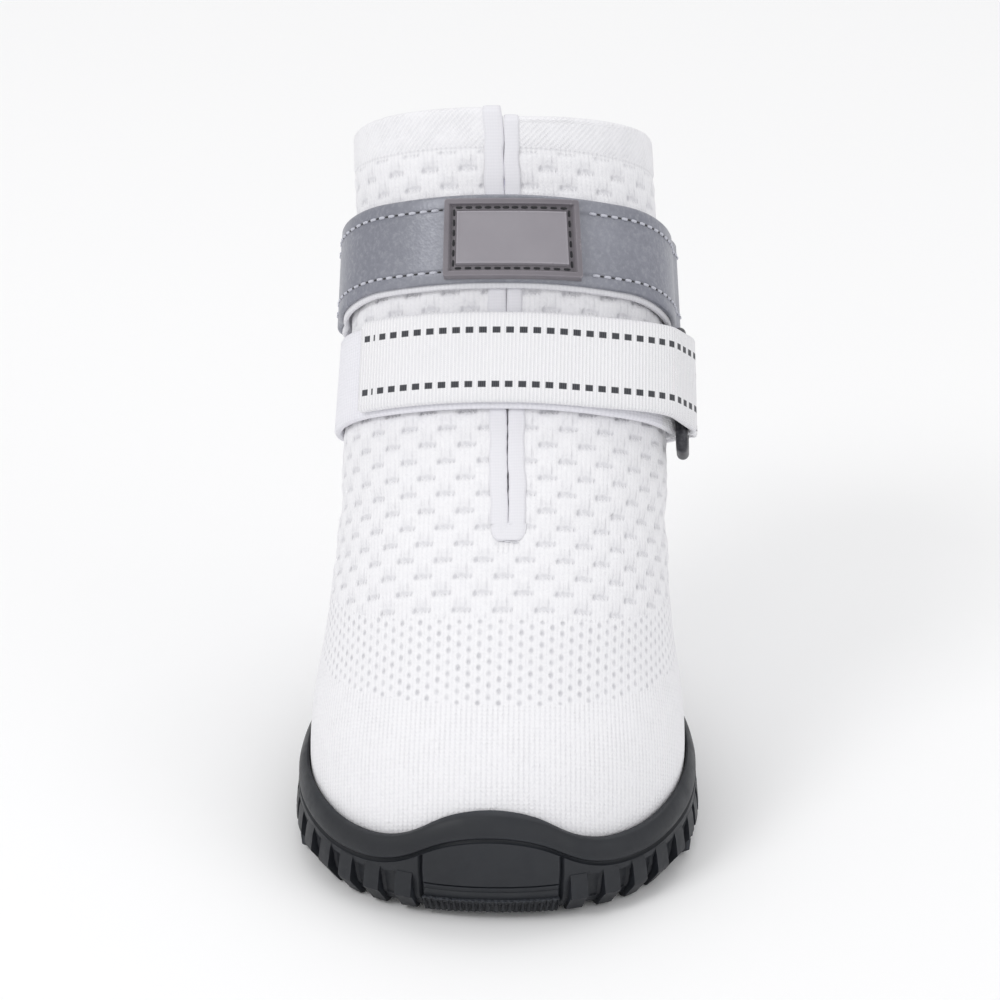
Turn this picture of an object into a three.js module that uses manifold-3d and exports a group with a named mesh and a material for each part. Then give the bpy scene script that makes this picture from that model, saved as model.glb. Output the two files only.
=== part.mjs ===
// Dog boot: a knit shaft on a moulded cup sole, closed by two straps.
// Millimetres, +Z up, toe toward -Y. Y tables count from the sole's toe tip.
import * as THREE from 'three';
import { mergeVertices } from 'three/addons/utils/BufferGeometryUtils.js';
import Module from 'manifold-3d';

const wasm = await Module();
wasm.setup();

// ---------------------------------------------------------------- sizes
const SOLE_WIDTH = 60;            // across the widest part
const WIDEST = 30.9;              // where the sole is widest
const SOLE_FORE = 31.6;           // toe tip to the widest line
const SOLE_AFT = 45.6;            // widest line to the heel
const FORE_POWER = 2.2;          // fullness of the toe outline
const AFT_POWER = 1.87;           // fullness of the heel outline
const ORIGIN_Y = 53.0;            // toe tip to the origin
const WALL = 1.8;                 // knit, foam and lining together
const GAP = 0.3;                  // between neighbouring pieces
const SEAT_Z = 4.3;               // lower edge of the upper, top of the cup floor is GAP below
const FLOOR_Z = SEAT_Z - GAP;
const BASE_Z = 1.7;               // underside of the sole between the lugs
const INSOLE = 2.0;
const BAND_T = 1.2;               // webbing and loop band
const STRAP_T = 1.6;              // reflective strap
const SLIT_WIDTH = 0.8;
const SLIT_LENGTH = 64.5;         // down the front from the collar
const AROUND = 48;                // facets round the upper

// Sections of the upper's outer face, from the seat to the collar.
// front and back points (y, z), half width, where the widest point lies
// between them, the fullness of the front and back halves, and the middle's x.
const SECTIONS = [
  // yFront zFront yBack  zBack  half  mid   nFront nBack xMid
  [3.0, 4.3, 73.4, 4.3, 26.4, 0.400, 2.12, 1.87, 0],       // seat
  [2.3, 9.5, 74.2, 9.0, 27.3, 0.400, 2.12, 1.87, 0],       // in the cup
  [2.9, 16.0, 75.0, 14.5, 27.4, 0.405, 2.12, 1.90, 0],     // rim
  [5.5, 23.4, 76.0, 19.5, 26.9, 0.415, 2.15, 1.92, 0],     // toe
  [10.3, 30.0, 77.0, 24.5, 26.2, 0.430, 2.15, 1.95, 0],    // fine holes start
  [18.0, 38.3, 78.2, 30.5, 25.5, 0.450, 2.15, 2.00, 0.1],  // fine holes end
  [31.2, 49.4, 80.2, 38.5, 24.9, 0.500, 2.20, 2.10, 0.2],  // slit end
  [42.6, 59.4, 82.6, 45.0, 24.5, 0.530, 2.25, 2.20, 0.2],  // instep
  [52.4, 69.0, 86.6, 51.6, 24.1, 0.560, 2.30, 2.30, 0.2],  // webbing
  [58.9, 76.9, 91.0, 57.6, 23.8, 0.560, 2.30, 2.30, 0.2],  // between the straps
  [63.8, 84.8, 96.0, 63.8, 23.4, 0.550, 2.25, 2.25, 0.0],  // reflective strap
  [67.4, 92.2, 101.4, 69.6, 23.1, 0.530, 2.15, 2.15, -0.5], // neck
  [70.2, 99.8, 107.2, 75.6, 23.0, 0.510, 2.10, 2.10, -1.0], // collar
];
const SLIT_LINE = { top: -0.4, low: 1.6 };   // x of the slit's centre
const FLAP_STEP = 1.4;                        // right flap below the left one

// Height of the cup's rim by angle from the toe (degrees, both sides alike).
const RIM = [
  // angle  z
  [0, 17.6], [12, 16.4], [24, 12.6], [34, 11.2], [48, 11.0], [70, 11.9],
  [90, 13.0], [120, 13.8], [150, 14.2], [180, 14.4],
];
// Side wall of the cup: height, and how far it lies inside the outline.
const WALL_LOW = [
  // z      inset
  [BASE_Z, 3.3], [3.4, 1.35], [5.6, 0.35],
];

// ---------------------------------------------------------------- helpers
const rad = (d) => (d * Math.PI) / 180;
const lerp = (a, b, t) => a + (b - a) * t;
const clamp = (x, a, b) => Math.min(Math.max(x, a), b);
function table(rows, x) {
  if (x <= rows[0][0]) return rows[0][1];
  for (let i = 1; i < rows.length; i += 1) {
    if (x <= rows[i][0]) {
      return lerp(rows[i - 1][1], rows[i][1], (x - rows[i - 1][0]) / (rows[i][0] - rows[i - 1][0]));
    }
  }
  return rows[rows.length - 1][1];
}
function smoothTable(rows, x) {
  if (x <= rows[0][0]) return rows[0][1];
  for (let i = 1; i < rows.length; i += 1) {
    if (x <= rows[i][0]) {
      const t = (x - rows[i - 1][0]) / (rows[i][0] - rows[i - 1][0]);
      return lerp(rows[i - 1][1], rows[i][1], t * t * (3 - 2 * t));
    }
  }
  return rows[rows.length - 1][1];
}
// Angle from the toe, 0 to 180 degrees, whichever side.
const fromToe = (u) => Math.abs(THREE.MathUtils.radToDeg(Math.atan2(Math.sin(u), Math.cos(u))));
const signedPower = (s, p) => Math.sign(s) * Math.abs(s) ** p;

// One section of the upper at v (0 seat, SECTIONS.length - 1 collar).
function section(v) {
  const last = SECTIONS.length - 1;
  const w = clamp(v, 0, last);
  const i = Math.min(Math.floor(w), last - 1);
  const t = w - i;
  const p1 = SECTIONS[i];
  const p2 = SECTIONS[i + 1];
  return p1.map((a, k) => {
    const b = p2[k];
    const before = i > 0 ? SECTIONS[i - 1][k] : 2 * a - b;
    const after = i + 2 <= last ? SECTIONS[i + 2][k] : 2 * b - a;
    const m1 = (b - before) / 2;
    const m2 = (after - a) / 2;
    return (2 * t ** 3 - 3 * t ** 2 + 1) * a + (t ** 3 - 2 * t ** 2 + t) * m1
      + (-2 * t ** 3 + 3 * t ** 2) * b + (t ** 3 - t ** 2) * m2;
  });
}
// Outer face of the upper: u round from the front toward +X, v upward.
function skin(u, v) {
  const [yf, zf, yb, zb, half, mid, nf, nb, xm] = section(v);
  const c = Math.cos(u);
  const n = c > 0 ? nf : nb;
  const k = Math.abs(c) ** (2 / n);
  const f = c > 0 ? mid * (1 - k) : mid + (1 - mid) * k;
  return new THREE.Vector3(
    xm + half * signedPower(Math.sin(u), 2 / n),
    yf + (yb - yf) * f - ORIGIN_Y,
    zf + (zb - zf) * f,
  );
}
function skinNormal(u, v) {
  const e = 0.02;
  const top = SECTIONS.length - 1;
  const a = skin(u + e, v).sub(skin(u - e, v));
  const b = skin(u, Math.min(v + e, top)).sub(skin(u, Math.max(v - e, 0)));
  return a.cross(b).normalize();
}
const skinAt = (u, v, d) => skin(u, v).addScaledVector(skinNormal(u, v), d);

// v at the distance s (mm) below the collar, along the column u.
const ARC_STEPS = 120;
const arcCache = new Map();
function vBelow(u, s) {
  const key = u.toFixed(5);
  if (!arcCache.has(key)) {
    const top = SECTIONS.length - 1;
    const run = [[0, top]];
    let last = skin(u, top);
    let sum = 0;
    for (let i = 1; i <= ARC_STEPS; i += 1) {
      const v = top * (1 - i / ARC_STEPS);
      const p = skin(u, v);
      sum += p.distanceTo(last);
      run.push([sum, v]);
      last = p;
    }
    arcCache.set(key, run);
  }
  return table(arcCache.get(key), s);
}
// The cup's outline at u, inset inward by d.
function outline(u, d) {
  const c = Math.cos(u);
  const n = c > 0 ? FORE_POWER : AFT_POWER;
  const run = (c > 0 ? SOLE_FORE : SOLE_AFT) - d;
  const k = Math.abs(c) ** (2 / n);
  return [
    (SOLE_WIDTH / 2 - d) * signedPower(Math.sin(u), 2 / n),
    WIDEST + (c > 0 ? -run : run) * k - ORIGIN_Y,
  ];
}
// How far the underside lies off the floor: toe spring, waist and a little roll at the sides.
function lift(x, y) {
  const fromTip = y + ORIGIN_Y;
  const toe = clamp((10 - fromTip) / 10, 0, 1);
  const heel = clamp((fromTip - 70) / 7, 0, 1);
  const side = clamp((Math.abs(x) - 20) / 10, 0, 1);
  return 1.3 * toe * toe + 0.7 * heel * heel + 0.9 * side * side;
}
// The tread's waist, between ball and heel, stands a little off the floor.
function arch(y) {
  const waist = clamp(1 - Math.abs(y + ORIGIN_Y - 42) / 11, 0, 1);
  return 0.5 * waist * waist * (3 - 2 * waist);
}

// ---------------------------------------------------------------- solids
function toManifold(points, tris) {
  const g = new THREE.BufferGeometry();
  g.setAttribute('position', new THREE.BufferAttribute(new Float32Array(points.flatMap((p) => [p.x, p.y, p.z])), 3));
  g.setIndex(tris);
  const merged = mergeVertices(g, 1e-4);
  const index = merged.getIndex().array;
  const kept = [];
  for (let i = 0; i < index.length; i += 3) {
    const [a, b, c] = [index[i], index[i + 1], index[i + 2]];
    if (a !== b && b !== c && a !== c) kept.push(a, b, c);
  }
  return new wasm.Manifold(new wasm.Mesh({
    numProp: 3,
    vertProperties: new Float32Array(merged.getAttribute('position').array),
    triVerts: new Uint32Array(kept),
  }));
}
function toGeometry(solid) {
  const mesh = solid.getMesh();
  const g = new THREE.BufferGeometry();
  const pos = new Float32Array((mesh.vertProperties.length / mesh.numProp) * 3);
  for (let i = 0; i < pos.length / 3; i += 1) {
    for (let k = 0; k < 3; k += 1) pos[3 * i + k] = mesh.vertProperties[i * mesh.numProp + k];
  }
  g.setAttribute('position', new THREE.BufferAttribute(pos, 3));
  g.setIndex(new THREE.BufferAttribute(new Uint32Array(mesh.triVerts), 1));
  g.computeVertexNormals();
  return g;
}
// Closed body from rings of equal length, bottom ring first, each ring
// running counter-clockwise seen from above; the ends are closed by fans.
function ringBody(rings) {
  const n = rings[0].length;
  const points = rings.flat();
  const tris = [];
  for (let r = 0; r + 1 < rings.length; r += 1) {
    for (let i = 0; i < n; i += 1) {
      const j = (i + 1) % n;
      const a = r * n + i;
      const b = r * n + j;
      const c = (r + 1) * n + j;
      const d = (r + 1) * n + i;
      tris.push(a, b, c, a, c, d);
    }
  }
  const centre = (ring) => ring.reduce((s, p) => s.add(p), new THREE.Vector3()).divideScalar(ring.length);
  const low = points.push(centre(rings[0])) - 1;
  const high = points.push(centre(rings[rings.length - 1])) - 1;
  const top = (rings.length - 1) * n;
  for (let i = 0; i < n; i += 1) {
    const j = (i + 1) % n;
    tris.push(low, j, i, high, top + i, top + j);
  }
  return toManifold(points, tris);
}
const ringOf = (n, f) => Array.from({ length: n }, (_, i) => f((2 * Math.PI * i) / n));
// Block over a plan outline (list of [x, y]), standing on the lifted floor.
function lug(plan, z0, z1, taper = 0.25) {
  const cx = plan.reduce((s, p) => s + p[0], 0) / plan.length;
  const cy = plan.reduce((s, p) => s + p[1], 0) / plan.length;
  const ring = (z, k) => plan.map(([x, y]) => {
    const dx = x - cx;
    const dy = y - cy;
    const r = Math.hypot(dx, dy) || 1;
    const f = 1 - k / r;
    const px = cx + dx * f;
    const py = cy + dy * f;
    return new THREE.Vector3(px, py, z + lift(px, py) + (z < BASE_Z ? arch(py) : 0));
  });
  return ringBody([ring(z0, taper), ring(z1, 0)]);
}
// A strip along the skin. path rows: { u, top, low, d } with top and low the
// edges' distances below the collar and d the middle's height off the skin,
// or the two edge points themselves as pair.
function strip(path, thick) {
  const mids = path.map(({ u, top, low, d, pair }) => pair || [top, low].map((s) => skinAt(u, vBelow(u, s), d)));
  const rings = mids.map(([a, b], i) => {
    const before = mids[Math.max(i - 1, 0)];
    const after = mids[Math.min(i + 1, mids.length - 1)];
    const across = a.clone().sub(b).normalize();
    return [a, b].map((p, k) => {
      const along = after[k].clone().sub(before[k]).normalize();
      const out = along.clone().cross(across).normalize();
      return [p.clone().addScaledVector(out, thick / 2), p.clone().addScaledVector(out, -thick / 2)];
    });
  });
  // corner order round the section: top out, top in, low in, low out
  const loops = rings.map(([t, l]) => [t[0], t[1], l[1], l[0]]);
  const n = 4;
  const points = loops.flat();
  const tris = [];
  for (let r = 0; r + 1 < loops.length; r += 1) {
    for (let i = 0; i < n; i += 1) {
      const j = (i + 1) % n;
      const a = r * n + i;
      const b = r * n + j;
      const c = (r + 1) * n + j;
      const d = (r + 1) * n + i;
      tris.push(a, c, b, a, d, c);
    }
  }
  const e = (loops.length - 1) * n;
  tris.push(0, 1, 2, 0, 2, 3, e, e + 2, e + 1, e, e + 3, e + 2);
  return toManifold(points, tris);
}
// A closed pad on the skin between two angles and two distances, with
// its corners at offsets d0 and d1.
function pad(uOf, s0, s1, d0, d1, nu, ns) {
  const points = [];
  const id = (i, j, k) => (i * (ns + 1) + j) * 2 + k;
  for (let i = 0; i <= nu; i += 1) {
    for (let j = 0; j <= ns; j += 1) {
      const u = uOf(i / nu);
      const s = lerp(s0, s1, j / ns);
      const v = vBelow(u, s);
      points.push(skinAt(u, v, d0), skinAt(u, v, d1));
    }
  }
  const tris = [];
  const quad = (a, b, c, d) => tris.push(a, b, c, a, c, d);
  for (let i = 0; i < nu; i += 1) {
    for (let j = 0; j < ns; j += 1) {
      quad(id(i, j, 1), id(i, j + 1, 1), id(i + 1, j + 1, 1), id(i + 1, j, 1));
      quad(id(i, j, 0), id(i + 1, j, 0), id(i + 1, j + 1, 0), id(i, j + 1, 0));
    }
  }
  for (let i = 0; i < nu; i += 1) {
    quad(id(i, 0, 0), id(i, 0, 1), id(i + 1, 0, 1), id(i + 1, 0, 0));
    quad(id(i, ns, 0), id(i + 1, ns, 0), id(i + 1, ns, 1), id(i, ns, 1));
  }
  for (let j = 0; j < ns; j += 1) {
    quad(id(0, j, 0), id(0, j + 1, 0), id(0, j + 1, 1), id(0, j, 1));
    quad(id(nu, j, 0), id(nu, j, 1), id(nu, j + 1, 1), id(nu, j + 1, 0));
  }
  return toManifold(points, tris);
}
const hull8 = (a) => {                 // a: 8 corners, lower four then upper four, counter-clockwise
  const t = [0, 2, 1, 0, 3, 2, 4, 5, 6, 4, 6, 7, 0, 1, 5, 0, 5, 4, 1, 2, 6, 1, 6, 5, 2, 3, 7, 2, 7, 6, 3, 0, 4, 3, 4, 7];
  return toManifold(a, t);
};

// ---------------------------------------------------------------- upper
const LAST = SECTIONS.length - 1;
const ROWS = [0, 1, 2, 2.6, 3.3, 4, 4.8, 5.6, 6.4, 7.2, 8, 8.8, 9.7, 10.6, 11.4];
function collarV(u) {
  // the right flap ends lower at the front and rises to the left one's height at the side
  const a = THREE.MathUtils.radToDeg(Math.atan2(Math.sin(u), Math.cos(u)));
  const drop = a > 0.5 ? FLAP_STEP * clamp(1 - a / 75, 0, 1) : 0;
  return vBelow(u, drop);
}
const shell = (d, low) => [
  ...ROWS.map((v, i) => ringOf(AROUND, (u) => {
    const p = skinAt(u, v, d);
    if (i === 0) p.z = low;
    return p;
  })),
];
const outerRings = [...shell(0, SEAT_Z), ringOf(AROUND, (u) => skinAt(u, collarV(u), 0))];
const innerRings = [...shell(-WALL, SEAT_Z - 1), ringOf(AROUND, (u) => skinAt(u, collarV(u), -WALL)),
  ringOf(AROUND, (u) => skinAt(u, collarV(u), -WALL).addScaledVector(new THREE.Vector3(0, 0.3, 0.95), 4))];
const capped = (rings) => ringBody(rings);
let upperSolid = capped(outerRings).subtract(capped(innerRings));

// The slit: a thin blade down the front, its lower end narrowing.
const slitX = (s) => lerp(SLIT_LINE.top, SLIT_LINE.low, clamp(s / SLIT_LENGTH, 0, 1));
{
  const stops = [-6, 8, 20, 32, 44, 56, SLIT_LENGTH];
  const rows = stops.map((s) => {
    const v = vBelow(0, Math.max(s, 0));
    const n = skinNormal(0, v);
    const p = skin(0, v);
    if (s < 0) p.addScaledVector(skin(0, LAST).sub(skin(0, LAST - 0.3)).normalize(), -s);
    const h = s > SLIT_LENGTH - 1 ? SLIT_WIDTH / 4 : SLIT_WIDTH / 2;
    const x = slitX(s);
    const make = (dx, d) => {
      const q = p.clone().addScaledVector(n, d);
      q.x = x + dx;
      return q;
    };
    return [make(-h, 3), make(h, 3), make(h, -WALL - 3), make(-h, -WALL - 3)];
  });
  const points = rows.flat();
  const tris = [];
  for (let r = 0; r + 1 < rows.length; r += 1) {
    for (let i = 0; i < 4; i += 1) {
      const j = (i + 1) % 4;
      tris.push(r * 4 + i, (r + 1) * 4 + j, r * 4 + j, r * 4 + i, (r + 1) * 4 + i, (r + 1) * 4 + j);
    }
  }
  const e = (rows.length - 1) * 4;
  tris.push(0, 1, 2, 0, 2, 3, e, e + 2, e + 1, e, e + 3, e + 2);
  let blade = toManifold(points, tris);
  if (blade.volume() < 0) {
    const flipped = [];
    for (let i = 0; i < tris.length; i += 3) flipped.push(tris[i], tris[i + 2], tris[i + 1]);
    blade = toManifold(points, flipped);
  }
  upperSolid = upperSolid.subtract(blade);
}

// ---------------------------------------------------------------- outsole
const SOLE_AROUND = 50;
const rimZ = (u) => smoothTable(RIM, fromToe(u));
function soleRing(zOf, insetOf) {
  return ringOf(SOLE_AROUND, (u) => {
    const inset = insetOf(u);
    const [x, y] = outline(u, inset);
    return new THREE.Vector3(x, y, zOf(u, x, y));
  });
}
const base = (k) => soleRing((u, x, y) => BASE_Z + lift(x, y), () => k);
const flatBase = soleRing(() => BASE_Z, () => 9);
const outerSole = ringBody([
  flatBase, base(WALL_LOW[0][1]),
  soleRing((u, x, y) => WALL_LOW[1][0] + 0.5 * lift(x, y), () => WALL_LOW[1][1]),
  soleRing(() => WALL_LOW[2][0], () => WALL_LOW[2][1]),
  soleRing((u) => Math.min(8.4, rimZ(u) - 4.3), () => 0),
  soleRing((u) => rimZ(u) - 3.7, (u) => 0.05 + 0.02 * (rimZ(u) - 11)),
  soleRing((u) => rimZ(u) - 3.4, (u) => 0.5 + 0.02 * (rimZ(u) - 11)),
  soleRing((u) => rimZ(u) - 3.0, (u) => 0.1 + 0.03 * (rimZ(u) - 11)),
  soleRing((u) => rimZ(u) - 1.2, (u) => 0.35 + 0.07 * (rimZ(u) - 11)),
  soleRing((u) => rimZ(u) - 0.3, (u) => 0.75 + 0.09 * (rimZ(u) - 11)),
  soleRing((u) => rimZ(u), (u) => 1.2 + 0.09 * (rimZ(u) - 11)),
  soleRing((u) => rimZ(u) - 0.4, () => 3.4),
]);
const cavity = ringBody([0, 1, 2, 2.6, 3.3].map((v, i) => ringOf(AROUND, (u) => {
  const p = skinAt(u, v, GAP);
  if (i === 0) p.z = FLOOR_Z;
  return p;
})));

// Perimeter lugs: low blocks on the side wall at the tread's edge, the same
// on both sides, placed by their distance behind the toe tip.
const EDGE_LUGS = [
  // distance width proud
  [1.6, 2.6, 0.75], [4.1, 2.6, 0.8], [7.4, 2.6, 0.8], [11.4, 2.7, 0.75], [16.2, 2.8, 0.7],
  [21.4, 3.0, 0.55], [25.9, 3.0, 0.5], [30.5, 3.0, 0.5], [35.1, 3.0, 0.5], [39.7, 3.0, 0.5], [44.2, 3.0, 0.5],
];
// Angle at which the outline lies at a distance behind the toe tip.
function angleAt(d) {
  const fore = d < WIDEST;
  const k = fore ? (WIDEST - d) / SOLE_FORE : (d - WIDEST) / SOLE_AFT;
  const c = clamp(k, 0, 1) ** ((fore ? FORE_POWER : AFT_POWER) / 2);
  return Math.acos(fore ? c : -c);
}
const sideLugs = [];
for (const [d, width, proud] of EDGE_LUGS) {
  const mid = angleAt(d);
  const [xa, ya] = outline(mid - 0.01, 0);
  const [xb, yb] = outline(mid + 0.01, 0);
  const half = (width / 2) / (Math.hypot(xb - xa, yb - ya) / 0.02);
  for (const side of [1, -1]) {
    const corner = (u, inset, z) => {
      const [x, y] = outline(u, inset);
      return new THREE.Vector3(side * x, y, z + lift(x, y) * (z < 3 ? 1 : 0.3));
    };
    const [a, b] = side > 0 ? [mid - half, mid + half] : [mid + half, mid - half];
    const low = [[a, 4.6], [a, 1.9], [b, 1.9], [b, 4.6]];
    const high = [[a, 1.5], [a, -proud], [b, -proud], [b, 1.5]];
    sideLugs.push(hull8([...low.map(([u, k]) => corner(u, k, 0.2)), ...high.map(([u, k]) => corner(u, k, 5.6))]));
  }
}
const TREAD = 0;                       // tread plane
const P = (x, d) => [x, d - ORIGIN_Y]; // plan point: x, distance behind the toe tip
const lugs = [];
const bar = (x0, x1, d0, d1) => lugs.push(lug([P(x0, d0), P(x1, d0), P(x1, d1), P(x0, d1)], TREAD, BASE_Z + 0.6));
// Toe column: ribs across, narrower at the waist.
const TOE_COLUMN = [
  // distance half width
  [2, 9.2], [6, 9.0], [11.3, 7.6], [15, 10.0], [17.5, 11.1],
];
const RIB_PITCH = 2.65;
for (let d = 2.2; d < 18.6; d += RIB_PITCH) {
  const w = table(TOE_COLUMN, d + 0.8);
  bar(-w, w, d, d + 1.9);
}
// Middle panel: border walls and the round disc.
const MID_PANEL = [
  // distance half width
  [20.4, 11.8], [24, 13.2], [28, 14.3], [33, 13.6], [38, 11.6], [43, 9.8],
];
// Discs are drawn with enough corners to read round.
const disc = (d, r, z0, n = 22) => ringBody([
  ringOf(n, (a) => { const [x, y] = P(r * Math.cos(a) * 0.97, d + r * 0.97 * Math.sin(a)); return new THREE.Vector3(x, y, z0 + lift(x, y) + arch(y)); }),
  ringOf(n, (a) => { const [x, y] = P(r * Math.cos(a), d + r * Math.sin(a)); return new THREE.Vector3(x, y, BASE_Z + 0.6); }),
]);
// A curved bar through centre points [x, distance], of a given width.
function curvedBar(centre, width, z0 = TREAD, whole = false) {
  const left = [];
  const right = [];
  centre.forEach(([x, d], i) => {
    const a = centre[Math.max(i - 1, 0)];
    const b = centre[Math.min(i + 1, centre.length - 1)];
    const len = Math.hypot(b[0] - a[0], b[1] - a[1]);
    const nx = -(b[1] - a[1]) / len;
    const ny = (b[0] - a[0]) / len;
    left.push([x + (nx * width) / 2, d + (ny * width) / 2]);
    right.push([x - (nx * width) / 2, d - (ny * width) / 2]);
  });
  if (whole) {
    const plan = [...left, ...right.slice().reverse()].map(([x, d]) => P(x, d));
    let area = 0;
    plan.forEach((p, k) => { const q = plan[(k + 1) % plan.length]; area += p[0] * q[1] - q[0] * p[1]; });
    if (area < 0) plan.reverse();
    return lug(plan, z0, BASE_Z + 0.6, 0.15);
  }
  const quads = [];
  for (let i = 0; i + 1 < centre.length; i += 1) {
    const plan = [left[i], right[i], right[i + 1], left[i + 1]].map(([x, d]) => P(x, d));
    let area = 0;
    plan.forEach((p, k) => { const q = plan[(k + 1) % 4]; area += p[0] * q[1] - q[0] * p[1]; });
    if (area < 0) plan.reverse();
    quads.push(lug(plan, z0, BASE_Z + 0.6, 0));
  }
  return quads.reduce((s, q) => s.add(q));
}
lugs.push(curvedBar(MID_PANEL.map(([d, w]) => [w - 0.7, d]), 1.4));
lugs.push(curvedBar(MID_PANEL.map(([d, w]) => [-(w - 0.7), d]), 1.4));
lugs.push(curvedBar([[-11.2, 20.2], [-6, 21.2], [0, 21.6], [6, 21.2], [11.2, 20.2]], 1.3));
lugs.push(disc(30.3, 7.4, TREAD));
for (const [d, w] of [[24.3, 4.6], [39.0, 4.4], [41.2, 5.4]]) bar(-w, w, d - 0.7, d + 0.7);
// Side bars: six arched bars each side, outer ends dropping back.
const SIDE_BARS = [
  // inner x, distance, outer x, distance
  [13.6, 20.6, 28.6, 22.0], [15.0, 24.4, 29.0, 26.2],
  [15.8, 28.4, 28.9, 30.6], [15.6, 32.2, 28.6, 34.8],
  [14.6, 36.2, 27.9, 39.2], [13.2, 40.0, 26.8, 43.4],
];
for (const [xi, di, xo, dn] of SIDE_BARS) {
  const bow = [[xi, di + 0.4], [lerp(xi, xo, 0.5), lerp(di, dn, 0.5) - 0.9], [xo, dn + 0.8]];
  lugs.push(curvedBar(bow, 3.0, TREAD, true));
  lugs.push(curvedBar(bow.map(([x, d]) => [-x, d]), 3.0, TREAD, true));
}
// Heel column: ribs, a boss, and plain side fields.
const HEEL_COLUMN = [
  // distance half width
  [45.5, 8.6], [50, 8.0], [56, 6.3], [62, 6.5], [70, 7.4], [73, 7.2],
];
for (let d = 45.6; d < 73; d += RIB_PITCH) {
  const w = table(HEEL_COLUMN, d + 0.8);
  bar(-w, w, d, d + 1.9);
}
lugs.push(disc(47.7, 3.9, TREAD, 14));
// Toe and heel fields: one raised pad each, under the fine tread.
const FIELDS = [
  // name, corner list on the +X side
  [[10.6, 3.4], [15.4, 6.2], [20.2, 9.6], [23.6, 13.4], [25.6, 17.6], [20, 17.9], [12.9, 18.6], [9.6, 12.0]],
  [[11.4, 46.6], [18, 46.2], [22.6, 46.4], [20.4, 53], [17.0, 60], [12.6, 66.4], [9.4, 70.0], [8.6, 62], [8.4, 56]],
];
const fieldPads = [];
for (const corners of FIELDS) {
  for (const s of [1, -1]) {
    const plan = corners.map(([x, d]) => P(s * x, d));
    if (s < 0) plan.reverse();
    fieldPads.push(lug(plan, 0.55, BASE_Z + 0.6, 0.2));
  }
}
let soleSolid = outerSole;
for (const piece of [...sideLugs, ...lugs, ...fieldPads]) {
  soleSolid = soleSolid.add(piece);
}
soleSolid = soleSolid.subtract(cavity);

// ---------------------------------------------------------------- insole
const insoleSolid = ringBody([0, 1].map((k) => ringOf(AROUND, (u) => {
  const p = skinAt(u, k * 0.35, -WALL - GAP);
  p.z = SEAT_Z + k * INSOLE;
  return p;
})));

// ---------------------------------------------------------------- straps
// Distances below the collar of each band's edges, by angle from the front
// toward +X (degrees): the same on both sides of the front and back.
const EDGES = {
  reflective: [ // angle, upper edge, lower edge
    [0, 12.3, 26.0], [45, 12.8, 26.4], [90, 14.2, 28.2], [135, 15.6, 29.8], [180, 16.2, 30.4]],
  loopBand: [
    [0, 14, 27], [90, 14.6, 28.6], [135, 15.0, 29.0], [180, 15.2, 29.2]],
  webbing: [
    [0, 31.3, 46.0], [45, 31.6, 46.4], [90, 31.6, 46.8], [135, 30.8, 46.0], [180, 30.2, 45.4]],
};
const edge = (name, deg, k) => {
  const a = Math.abs(((deg + 180) % 360 + 360) % 360 - 180);
  return smoothTable(EDGES[name].map((r) => [r[0], r[k]]), a);
};
const range = (a, b, step) => {
  const n = Math.max(1, Math.round(Math.abs(b - a) / step));
  return Array.from({ length: n + 1 }, (_, i) => lerp(a, b, i / n));
};
const along = (name, degs, dOf, shift = 0) => degs.map((deg) => ({
  u: rad(deg), top: edge(name, deg, 1) + shift, low: edge(name, deg, 2) + shift, d: dOf(deg),
}));
const BASE_D = GAP + 0.1 + BAND_T / 2;                       // middle of a layer lying on the knit
const OVER_D = GAP + 0.15 + BAND_T + GAP + STRAP_T / 2;       // reflective strap over the loop band
const easeIn = (x) => { const t = clamp(x, 0, 1); return t * t * (3 - 2 * t); };

const loopBandSolid = strip(along('loopBand', range(107, 251, 6), () => BASE_D), BAND_T);
// from its sewn start at the left back, over the front, to its free end at the right back
const STRAP_LOW_D = GAP + 0.15 + STRAP_T / 2;
const reflectiveSolid = strip(along('reflective', range(-112, 155, 5), (deg) => {
  const right = easeIn((deg - 90) / 16);
  const left = easeIn((-deg - 91) / 16);
  return lerp(STRAP_LOW_D, OVER_D, Math.max(right, left));
}), STRAP_T);

const BAR_U = 76;                      // the ring's front bar
const BAR_R = 0.95;                    // ring wire radius
const BAR_D = GAP + 0.1 + BAND_T + GAP + BAR_R + 0.35;  // height of the bar's middle off the skin

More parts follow.
